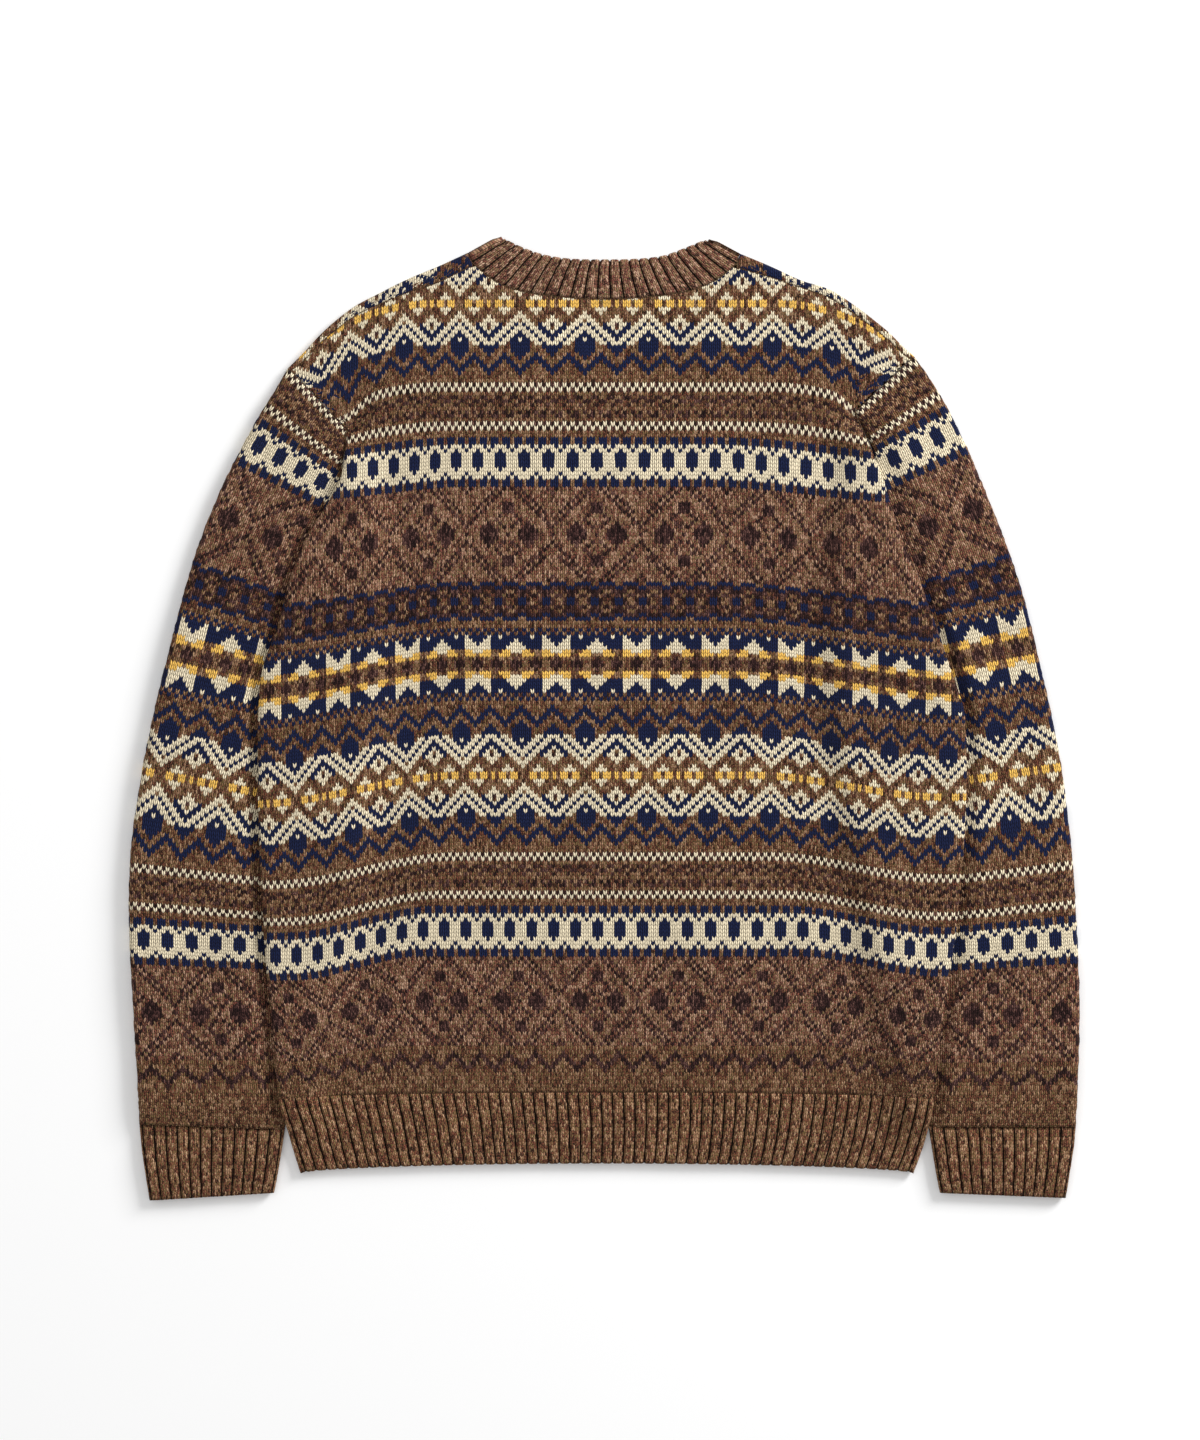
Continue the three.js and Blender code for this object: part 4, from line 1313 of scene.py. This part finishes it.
@dataclass
class Tube:
    """Flattened tube of cloth between an outer and an inner fold.

    Attributes:
        rows: its sections as (outer x, outer y, inner x, inner y, height).
    """

    rows: Sequence[Sequence[float]]

    def __post_init__(self) -> None:
        """Lays smooth lines through the sections."""
        table = np.array(self.rows, float)
        steps = np.hypot(np.diff(table[:, 0]), np.diff(table[:, 1]))
        self.at = np.concatenate([[0.0], np.cumsum(steps)])
        self.lines = [Curve(self.at, table[:, i]) for i in range(5)]
        self.length = float(self.at[-1])

    def sections(self, at: Array) -> tuple[Array, Array, Array, Array]:
        """Reads the sections.

        Args:
            at: distances along the outer fold.

        Returns:
            Outer fold, direction to the inner fold, width and height.
        """
        ox, oy, ix, iy, height = (line(at) for line in self.lines)
        outer = np.stack([ox, oy], -1)
        across = np.stack([ix - ox, iy - oy], -1)
        width = np.hypot(across[:, 0], across[:, 1])
        return outer, across / width[:, None], width, height

    @staticmethod
    def profile(run: Array, width: Array, height: Array, wall: float) -> tuple[Array, Array]:
        """Follows the upper half of a section from the outer fold to the inner one.

        Args:
            run: distance run along the outside of the cloth.
            width: width of the section.
            height: its height.
            wall: depth below the outside.

        Returns:
            Distance across and height above the surface.
        """
        radius = height / 2
        quarter = math.pi / 2 * radius
        flat = width - 2 * radius
        first = np.clip(run, 0, quarter) / radius
        last = np.clip(run - quarter - flat, 0, quarter) / radius
        bend = radius - wall
        across = radius - bend * np.cos(first) + np.clip(run - quarter, 0, flat) + bend * np.sin(last)
        rise = radius + bend * np.where(last > 0, np.cos(last), np.sin(first))
        return across, rise

    def loop(self, at: Array, runs: Array, wall: float) -> Array:
        """Makes the closed loops of the tube.

        Args:
            at: distances along the outer fold, one for each row.
            runs: distance run along the upper half, one row for each section.
            wall: depth below the outside.

        Returns:
            Points, across the upper side and back along the lower one.
        """
        outer, direction, width, height = self.sections(at)
        across, rise = self.profile(runs, width[:, None], height[:, None], wall)
        plan = outer[:, None, :] + direction[:, None, :] * across[..., None]
        upper = np.concatenate([plan, rise[..., None]], -1)
        lower = np.concatenate([plan, height[:, None, None] - rise[..., None]], -1)
        return np.concatenate([upper, lower[:, -2::-1]], axis=1)

    def half_length(self, at: Array) -> Array:
        """Length of the upper half of each section."""
        _, _, width, height = self.sections(at)
        return width + (math.pi / 2 - 1) * height


@dataclass
class Sleeve(Garment):
    """One sleeve with its cuff.

    Attributes:
        side: -1 for the left, 1 for the right.
        creases: its creases.
    """

    side: int = -1
    creases: Sequence[Crease] = ()

    @property
    def label(self) -> str:
        """Name of the side."""
        return "left" if self.side < 0 else "right"

    def sewn_rows(self) -> list[Sequence[float]]:
        """Fits the sections to the armhole seam and to the inner fold below the body.

        Returns:
            The sections of the sleeve.
        """
        rows = [list(row) for row in (LEFT_SLEEVE if self.side < 0 else RIGHT_SLEEVE)]
        along = np.subtract(ARMHOLE_TIP[self.side], ARMHOLE_CORNER[self.side])
        out = np.array([-along[1], along[0]]) * (-self.side)
        out = out / np.hypot(*out) * SEAM
        slopes = np.transpose(SLEEVE_SLOPE[self.side])
        for row in rows[1:-1]:
            slope = float(np.interp(row[1], *slopes))
            for _ in range(6):
                row[3] = row[1] - slope * (abs(row[0]) - float(OUTLINE.fold[self.side](row[3])))
            tuck = ARM_TUCK * float(smooth(row[3], *ARM_TUCK_SPAN))
            row[2] = self.side * (float(OUTLINE.fold[self.side](row[3])) - tuck)
        rows[0][0] += out[0]
        rows[0][1] += out[1]
        rows[0][2] += out[0]
        rows[0][3] += out[1]
        return rows

    def sleeve(self) -> None:
        """Makes the sleeve."""
        tube = Tube(self.sewn_rows())
        shifts = SLEEVE_SHIFT[self.side]
        bands = [
            Band(band.rows, band.low, shifts.get(len(band.rows[0]), 0))
            for band in BANDS[SLEEVE_FIRST_BAND:-1]
        ]
        bands.append(Band(PLAIN * SLEEVE_PLAIN, BANDS[-1].low))
        pattern = Pattern(bands, BANDS[SLEEVE_FIRST_BAND - 1].low)
        at = np.interp(pattern.edges[-1] - pattern.edges, *np.transpose(SLEEVE_RUN))
        at = at * tube.length / at[0]
        half = tube.half_length(at)
        wales = np.arange(0, math.ceil(half.max() / WALE) + 1)
        runs = np.minimum(wales * WALE, half[:, None])
        outer = tube.loop(at, runs, 0.0)
        inner = tube.loop(at, runs, WALL)
        outer[..., 2] += self.swell(outer) * (outer[..., 2] > 4.5)
        inner[..., 2] += np.clip(self.swell(inner), *SWELL_INSIDE) * smooth(inner[..., 2], 4.2, 5.0)
        bare = smooth(np.abs(outer[..., 0]) - OUTLINE.edge(self.side, outer[..., 1]), 1, 12)
        inset = np.minimum(at, tube.length - at)[:, None]
        bare = bare * smooth(inset, 0, 4)
        outer = uneven(uneven(outer, 0.4, 0.0, bare), 0.0, 0.25, bare * smooth(outer[..., 2], 3.0, 6.0))
        u = np.concatenate([runs, runs[:, -2::-1]], axis=1) / WALE
        v = np.broadcast_to(np.arange(len(at))[:, None], u.shape)
        chart = pattern.yarns(wales[:-1])
        yarn = np.concatenate([chart, chart[:, ::-1]], axis=1)
        grid = Grid(outer, inner, np.stack([u, v], -1), yarn, closed=True)
        self.place(f"{self.label}_sleeve", [grid], "colourwork", Cut((0.32, 0.62), 0.168), [])

    def swell(self, points: Array) -> Array:
        """Rise of the upper side where the body doesn't lie on it.

        Args:
            points: points of the outside.

        Returns:
            The rise.
        """
        x, y = points[..., 0], points[..., 1]
        beside = np.abs(x) - OUTLINE.edge(self.side, y)
        below_arm = 1 - smooth(y, *UNDERARM_SPAN)
        low = 1 - smooth(y, *LOW_SPAN)
        away = (beside - 3 + low) / (TROUGH_REACH - 3 * low)
        trough = -(TROUGH_DEPTH + TROUGH_DEPTH * low) * np.exp(-(away**2)) * (beside > TROUGH_END) * below_arm
        height = SWELL + 0.6 * low + relief(self.creases, x, y)
        rise = smooth(beside, 3, SWELL_REACH - SWELL_REACH / 2 * low) * height
        return rise * smooth(y, *CUFF_SPAN) + trough

    def cuff(self) -> None:
        """Makes the ribbed cuff."""
        rows = [list(row) for row in (LEFT_CUFF if self.side < 0 else RIGHT_CUFF)]
        rows[0][1] -= CLOSE_SEAM
        rows[0][3] -= CLOSE_SEAM
        tube = Tube(rows)
        at = np.linspace(tube.length, 0, RIB_COURSES + 1)
        share = np.linspace(0, 1, CUFF_RIBS * RIB_SPLIT + 1)
        runs = tube.half_length(at)[:, None] * share
        outer = tube.loop(at, runs, 0.0)
        inner = tube.loop(at, runs, WALL)
        groove = rib_groove(share * CUFF_RIBS + 0.5)
        groove = np.concatenate([groove, groove[-2::-1] * UNDERSIDE_RIB])
        groove = groove * rib_fade(at[:, None], (tube.length - at)[:, None])
        ends = round_off(np.minimum(at, tube.length - at)[:, None], 2.5, 0.8)
        middle = tube.lines[4](at)[:, None] / 2
        sink = np.maximum(groove * RIB_DEPTH, ends)
        outer[..., 2] -= sink * np.clip((outer[..., 2] - middle) / middle, -1, 1)
        outer = uneven(outer, 0.15, 0.12, smooth(outer[..., 2], 2.0, 5.0) * smooth(at, 0, 4)[:, None])
        phase = np.concatenate([share, 2 - share[-2::-1]]) * CUFF_RIBS + 0.5
        yarn = np.zeros((RIB_COURSES, len(phase) - 1))
        grid = Grid(outer, inner, rib_uv(phase, RIB_COURSES), yarn, closed=True)
        self.place(f"{self.label}_cuff", [grid], "rib", Cut((0.23, 0.058), 0.0127), [])


def spline(points: Array, count: int) -> Array:
    """Spaces points evenly along a smooth line, as the CAD does.

    Args:
        points: points of the line.
        count: number of spans.

    Returns:
        The spaced points.
    """
    dense = []
    for k in range(len(points) - 1):
        p0, p1, p2 = points[max(k - 1, 0)], points[k], points[k + 1]
        p3 = points[min(k + 2, len(points) - 1)]
        t = np.linspace(0, 1, 20, endpoint=False)[:, None]
        v0, v1 = (p2 - p0) / 2, (p3 - p1) / 2
        cubic = 2 * p1 - 2 * p2 + v0 + v1
        square = -3 * p1 + 3 * p2 - 2 * v0 - v1
        dense.append(cubic * t**3 + square * t**2 + v0 * t + p1)
    line = np.vstack([*dense, points[-1:]])
    run = np.concatenate([[0.0], np.cumsum(np.hypot(*np.diff(line, axis=0).T))])
    at = np.linspace(0, run[-1], count + 1)
    return np.stack([np.interp(at, run, line[:, 0]), np.interp(at, run, line[:, 1])], -1)


@dataclass
class Collar(Garment):
    """Ribbed crew neck, a flat ring of one band.

    Attributes:
        height: its height over the surface.
        courses: mesh rows across the band.
        crown: how far the middle of the band rises.
        corner: how far the ends of the free edge draw in.
        scallop: how far the free edge draws in at a valley.
        width: width of the band.
    """

    height: float = WALL * 2 + SEAM
    courses: int = 12
    crown: float = 1.0
    corner: float = 1.6
    scallop: float = 1.5
    width: float = 31.0

    def build(self) -> None:
        """Makes the collar."""
        first, last = np.array(BACK_COLLAR[0], float), np.array(BACK_COLLAR[-1], float)
        width = float(np.hypot(*(first[2:] - first[:2])))
        outer, inner = [], []
        for row in range(self.courses + 1):
            share = row / self.courses
            across = 2 * CLOSE_SEAM / width * (1 - share) + share
            back = [self.between(p, across) for p in BACK_COLLAR]
            front = [self.between(p, across) for p in FRONT_COLLAR]
            outer.append(self.ring(back, front, first, last, 0.0, share))
            inner.append(self.ring(back, front, first, last, WALL, share))
        phase = self.phase()
        uv = rib_uv(phase, self.courses)
        yarn = np.zeros((self.courses, len(phase) - 1))
        grid = Grid(np.array(outer), np.array(inner), uv, yarn, closed=True)
        rests = ["knit_front_panel"]
        self.place("collar", [grid], "rib", Cut((0.47, 0.031), 0.0145), rests)

    @staticmethod
    def between(row: Sequence[float], across: float) -> Array:
        """Point of the band at a share of its width."""
        return np.array([row[0] + (row[2] - row[0]) * across, row[1] + (row[3] - row[1]) * across])

    def phase(self) -> Array:
        """Counts the ribs along a ring.

        Returns:
            Number of ribs from the start, one for each point.
        """
        back = np.linspace(0, COLLAR_BACK_RIBS, COLLAR_BACK_RIBS * RIB_SPLIT + 1) + 0.5
        front = np.linspace(0, COLLAR_FRONT_RIBS, COLLAR_FRONT_RIBS * RIB_SPLIT + 1)
        return np.concatenate([back, back[-1] + front[1:]])

    def ring(
        self, back: list[Array], front: list[Array], first: Array, last: Array, wall: float, share: float
    ) -> Array:
        """Makes one closed loop of the collar.

        Args:
            back: points of the back at this share of the band.
            front: points of the front.
            first: left row of the table.
            last: right row of the table.
            wall: depth below the outside.
            share: share of the band's width from its seam.

        Returns:
            The points of the loop, from the right fold over the back and along the front.
        """
        half = self.height / 2
        out_a = self.outward(first, -1)
        out_b = self.outward(last, 1)
        inset = half + self.corner * float(smooth(share, 0.7, 1.0))
        start, end = back[-1] - out_b * inset, back[0] - out_a * inset
        upper = spline(np.array([start, *back[-2:0:-1], end]), COLLAR_BACK_RIBS * RIB_SPLIT)
        lower = spline(np.array([end, *front[1:-1], start]), COLLAR_FRONT_RIBS * RIB_SPLIT)
        groove_up = rib_groove(np.linspace(0, COLLAR_BACK_RIBS, len(upper)) + 0.5)
        rise = self.crown * math.sin(math.pi * min(1.0, share * 1.1)) if wall == 0 else 0.0
        sink = RIB_DEPTH * groove_up if wall == 0 else 0.0
        ease = np.sin(np.linspace(0, math.pi, len(upper))) ** 0.25
        edge = 0.9 * max(0.0, 1 - min(share, 1 - share) * 9) if wall == 0 else 0.0
        sink = sink * float(rib_fade(share * self.width, self.width))
        pull = np.maximum(0.0, share - 0.75) * 4 * self.scallop * (groove_up - 0.3) * ease
        inward = np.gradient(upper, axis=0)
        inward = np.column_stack([-inward[:, 1], inward[:, 0]]) / np.hypot(*inward.T)[:, None]
        upper = upper + inward * pull[:, None]
        upper_z = self.height - wall + (rise - np.maximum(sink, edge)) * ease
        lower_z = np.full(len(lower), wall)
        fold_a = self.fold(end, out_a, half, wall)
        fold_b = self.fold(start, out_b, half, wall)[::-1]
        top = np.column_stack([upper, upper_z])
        bottom = np.column_stack([lower, lower_z])
        top[-2:], bottom[:1] = fold_a[:2], fold_a[2:]
        bottom[-2:], top[:1] = fold_b[:2], fold_b[2:]
        return np.vstack([top, bottom[1:]])

    @staticmethod
    def outward(row: Array, side: int) -> Array:
        """Finds the level direction out of a fold, square to it.

        Args:
            row: row of the collar's table at the fold.
            side: -1 for the left, 1 for the right.

        Returns:
            The direction.
        """
        along = row[2:] - row[:2]
        out = np.array([along[1], -along[0]]) * side
        return out / np.hypot(*out)

    @staticmethod
    def fold(center: Array, out: Array, half: float, wall: float) -> Array:
        """Rounds one fold with three points.

        Args:
            center: middle of the fold.
            out: level direction out of it.
            half: half of the collar's height.
            wall: depth below the outside.

        Returns:
            The points, from its top over its side to its bottom.
        """
        radius = half - wall
        points = []
        for angle in (math.pi / 2, 0.0, -math.pi / 2):
            plan = center + out * radius * math.cos(angle)
            points.append([*plan, half + radius * math.sin(angle)])
        return np.array(points)


@dataclass(frozen=True)
class SeamStitches:
    """Row of small overcast strands along the seams that show, made with Geometry Nodes.

    Attributes:
        step: distance between two stitches.
        length: length of a strand.
        thickness: its thickness.
        tilt: how far it leans, up and down.
        seed: seed of the lean.
        bed: how deep the strands lie in the cloth, and how far they rise over the armhole.
    """

    step: float = 3.1
    length: float = 3.4
    thickness: float = 0.9
    tilt: float = 0.3
    seed: int = 7
    bed: float = 0.1

    def lines(self) -> list[Array]:
        """Follows the seams at the collar, the shoulders and the armholes.

        Returns:
            The points of each seam, in millimetres.
        """
        found = []
        top = 2 * WALL
        x = np.linspace(-COLLAR_END, COLLAR_END, 70)
        found.append(np.column_stack([x, OUTLINE.back_neck(x) + SEAM / 2, np.full(len(x), top - self.bed)]))
        for side in (-1, 1):
            corner, tip = np.array(ARMHOLE_CORNER[side]), np.array(ARMHOLE_TIP[side])
            x = side * np.linspace(COLLAR_END + 2, abs(tip[0]) - 3, 50)
            seam = OUTLINE.shoulder_line(x, "seam")
            found.append(np.column_stack([x, seam, np.full(len(x), top - self.bed)]))
            share = np.linspace(0.0, 0.93, 24)[:, None]
            y = np.linspace(corner[1] - 34, corner[1], 10)
            under = np.column_stack([side * (OUTLINE.edge(side, y) + 0.3), y, np.linspace(4.4, 6.0, 10)])
            over = np.column_stack([corner + (tip - corner) * share, np.full(24, top + self.bed)])
            found.append(np.vstack([under, over[1:]]))
        return found

    def tree(self) -> bpy.types.GeometryNodeTree:
        """Builds the tree, with its sizes as named inputs.

        Returns:
            The geometry node tree.
        """
        tree = bpy.data.node_groups.new("seam_stitches", "GeometryNodeTree")
        face = tree.interface
        face.new_socket("Geometry", in_out="OUTPUT", socket_type="NodeSocketGeometry")
        face.new_socket("Geometry", in_out="INPUT", socket_type="NodeSocketGeometry")
        for name in ("Step", "Length", "Thickness", "Tilt"):
            face.new_socket(name, in_out="INPUT", socket_type="NodeSocketFloat")
        face.new_socket("Seed", in_out="INPUT", socket_type="NodeSocketInt")
        face.new_socket("Material", in_out="INPUT", socket_type="NodeSocketMaterial")
        add = NodeBench(tree).add
        given = add("NodeGroupInput", {}, "node").outputs
        curve = add("GeometryNodeMeshToCurve", {"Mesh": given["Geometry"]})
        points = add("GeometryNodeCurveToPoints", {"Curve": curve, "Length": given["Step"]}, "node",
                     mode="LENGTH")
        size = add("ShaderNodeCombineXYZ", {0: given["Thickness"], 1: given["Thickness"], 2: given["Length"]})
        ball = add("GeometryNodeMeshUVSphere", {"Segments": 8, "Rings": 5, "Radius": 0.5})
        strand = add("GeometryNodeTransform", {"Geometry": ball, "Scale": size})
        back = add(MATH, {0: given["Tilt"], 1: -1.0}, operation="MULTIPLY")
        lean = add("FunctionNodeRandomValue", {2: back, 3: given["Tilt"], 8: given["Seed"]},
                   1, data_type="FLOAT")
        turn = add("FunctionNodeEulerToRotation", {0: add("ShaderNodeCombineXYZ", {0: lean, 1: lean})})
        turned = add("FunctionNodeRotateRotation", {0: points.outputs["Rotation"], 1: turn},
                     rotation_space="LOCAL")
        placed = add("GeometryNodeInstanceOnPoints",
                     {"Points": points.outputs["Points"], "Instance": strand, "Rotation": turned})
        real = add("GeometryNodeRealizeInstances", {"Geometry": placed})
        soft = add("GeometryNodeSetShadeSmooth", {"Geometry": real})
        dressed = add("GeometryNodeSetMaterial", {"Geometry": soft, "Material": given["Material"]})
        add("NodeGroupOutput", {0: dressed}, "node")
        return tree

    def build(self, material: bpy.types.Material) -> None:
        """Makes the stitches as one plain mesh.

        Args:
            material: yarn that they are sewn with.
        """
        points, spans = [], []
        for line in self.lines():
            spans += [(len(points) + i, len(points) + i + 1) for i in range(len(line) - 1)]
            points += (line * MM).tolist()
        guide_mesh = bpy.data.meshes.new("seam_lines")
        guide_mesh.from_pydata(points, spans, [])
        guide = bpy.data.objects.new("seam_lines", guide_mesh)
        bpy.context.scene.collection.objects.link(guide)
        modifier = guide.modifiers.new("stitches", "NODES")
        modifier.node_group = self.tree()
        values = {"Step": self.step * MM, "Length": self.length * MM, "Thickness": self.thickness * MM,
                  "Tilt": self.tilt, "Seed": self.seed, "Material": material}
        for item in modifier.node_group.interface.items_tree:
            if item.in_out == "INPUT" and item.name in values:
                modifier[item.identifier] = values[item.name]
        evaluated = guide.evaluated_get(bpy.context.evaluated_depsgraph_get())
        mesh = bpy.data.meshes.new_from_object(evaluated)
        bpy.data.objects.remove(guide)
        stitches = bpy.data.objects.new("seam_stitches", mesh)
        bpy.context.scene.collection.objects.link(stitches)
        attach(stitches, BODY)
        log.info("seam_stitches: %d faces", len(mesh.polygons))


@dataclass(frozen=True)
class Lamp:
    """Square lamp that points at the jumper.

    Attributes:
        name: its name.
        place: where it hangs, in metres.
        size: its side in metres.
        power: its power in watts.
    """

    name: str
    place: tuple[float, float, float]
    size: float
    power: float

    def hang(self) -> None:
        """Adds the lamp to the scene."""
        data = bpy.data.lights.new(self.name, "AREA")
        data.size = self.size
        data.energy = self.power
        lamp = bpy.data.objects.new(self.name, data)
        lamp.location = self.place
        x, y, z = self.place
        lamp.rotation_euler = (math.atan2(math.hypot(x, y), z), 0.0, math.atan2(y, x) + math.pi / 2)
        bpy.context.scene.collection.objects.link(lamp)


KEY = Lamp("key", (3.2, 2.5, 1.9), 1.8, 224.0)
FILL = Lamp("fill", (-1.0, 0.6, 3.0), 2.4, 16.0)


@dataclass
class Studio:
    """Camera, lights and floor.

    Attributes:
        lens: focal length of the camera in millimetres.
        height: height of the camera in metres.
        centre: X and Y of the camera in metres.
        sky: strength of the white light from all round.
        floor_size: distance from the middle to the sides of the floor in metres.
        floor_gap: how far the floor lies below the jumper in metres.
        glow: strength of the floor's own light, as in a white cove.
    """

    lens: float = 100.0
    height: float = 3.152
    centre: tuple[float, float] = (-0.0035, -0.002)
    sky: float = 0.5
    floor_size: float = 6.0
    floor_gap: float = 0.0004
    glow: float = 0.085

    def build(self) -> None:
        """Sets the camera, the lights and the floor."""
        scene = bpy.context.scene
        camera = bpy.data.objects.new("camera", bpy.data.cameras.new("camera"))
        camera.data.lens = self.lens
        camera.data.sensor_width = 36.0
        camera.data.dof.use_dof = False
        camera.data.clip_end = 50.0
        camera.location = (*self.centre, self.height)
        scene.collection.objects.link(camera)
        scene.camera = camera
        self.floor(scene)
        KEY.hang()
        FILL.hang()
        world = bpy.data.worlds.new("world")
        world.use_nodes = True
        background = world.node_tree.nodes["Background"]
        background.inputs[0].default_value = linear("#ffffff")
        background.inputs[1].default_value = self.sky
        scene.world = world
        scene.view_settings.view_transform = "Standard"
        scene.view_settings.look = "None"
        scene.view_settings.exposure = 0.0
        log.info("studio: camera, two lamps, floor")

    def floor(self, scene: bpy.types.Scene) -> None:
        """Adds the white surface below the jumper.

        Args:
            scene: the scene.
        """
        size, below = self.floor_size, -self.floor_gap
        corners = [(-size, -size, below), (size, -size, below), (size, size, below), (-size, size, below)]
        mesh = bpy.data.meshes.new("floor")
        mesh.from_pydata(corners, [], [(0, 1, 2, 3)])
        floor = bpy.data.objects.new("floor", mesh)
        scene.collection.objects.link(floor)
        material = bpy.data.materials.new("floor")
        material.use_nodes = True
        shader = material.node_tree.nodes["Principled BSDF"]
        shader.inputs["Base Color"].default_value = linear("#f6f6f6")
        shader.inputs["Roughness"].default_value = 0.9
        shader.inputs["Emission Color"].default_value = linear("#ffffff")
        shader.inputs["Emission Strength"].default_value = self.glow
        mesh.materials.append(material)


def main() -> None:
    """Builds the jumper and its studio, and logs the number of faces of each piece."""
    logging.basicConfig(level=logging.INFO, format="%(message)s")
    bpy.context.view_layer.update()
    Studio().build()
    materials = {
        "colourwork": [COLOURWORK.material(), FLOATS.material()],
        "rib": [RIB.material(), RIB_INSIDE.material()],
    }
    body = Body(materials)
    body.front()
    body.back()
    body.hem_rib("front_hem_rib", ribbed_up=False)
    body.hem_rib("back_hem_rib", ribbed_up=True)
    for side in (-1, 1):
        arm = Sleeve(materials, side, SLEEVE_CREASES[side])
        arm.sleeve()
        arm.cuff()
    Collar({**materials, "rib": [COLLAR_RIB.material(), materials["rib"][1]]}).build()
    SeamStitches().build(materials["rib"][1])


if __name__ == "__main__":
    main()
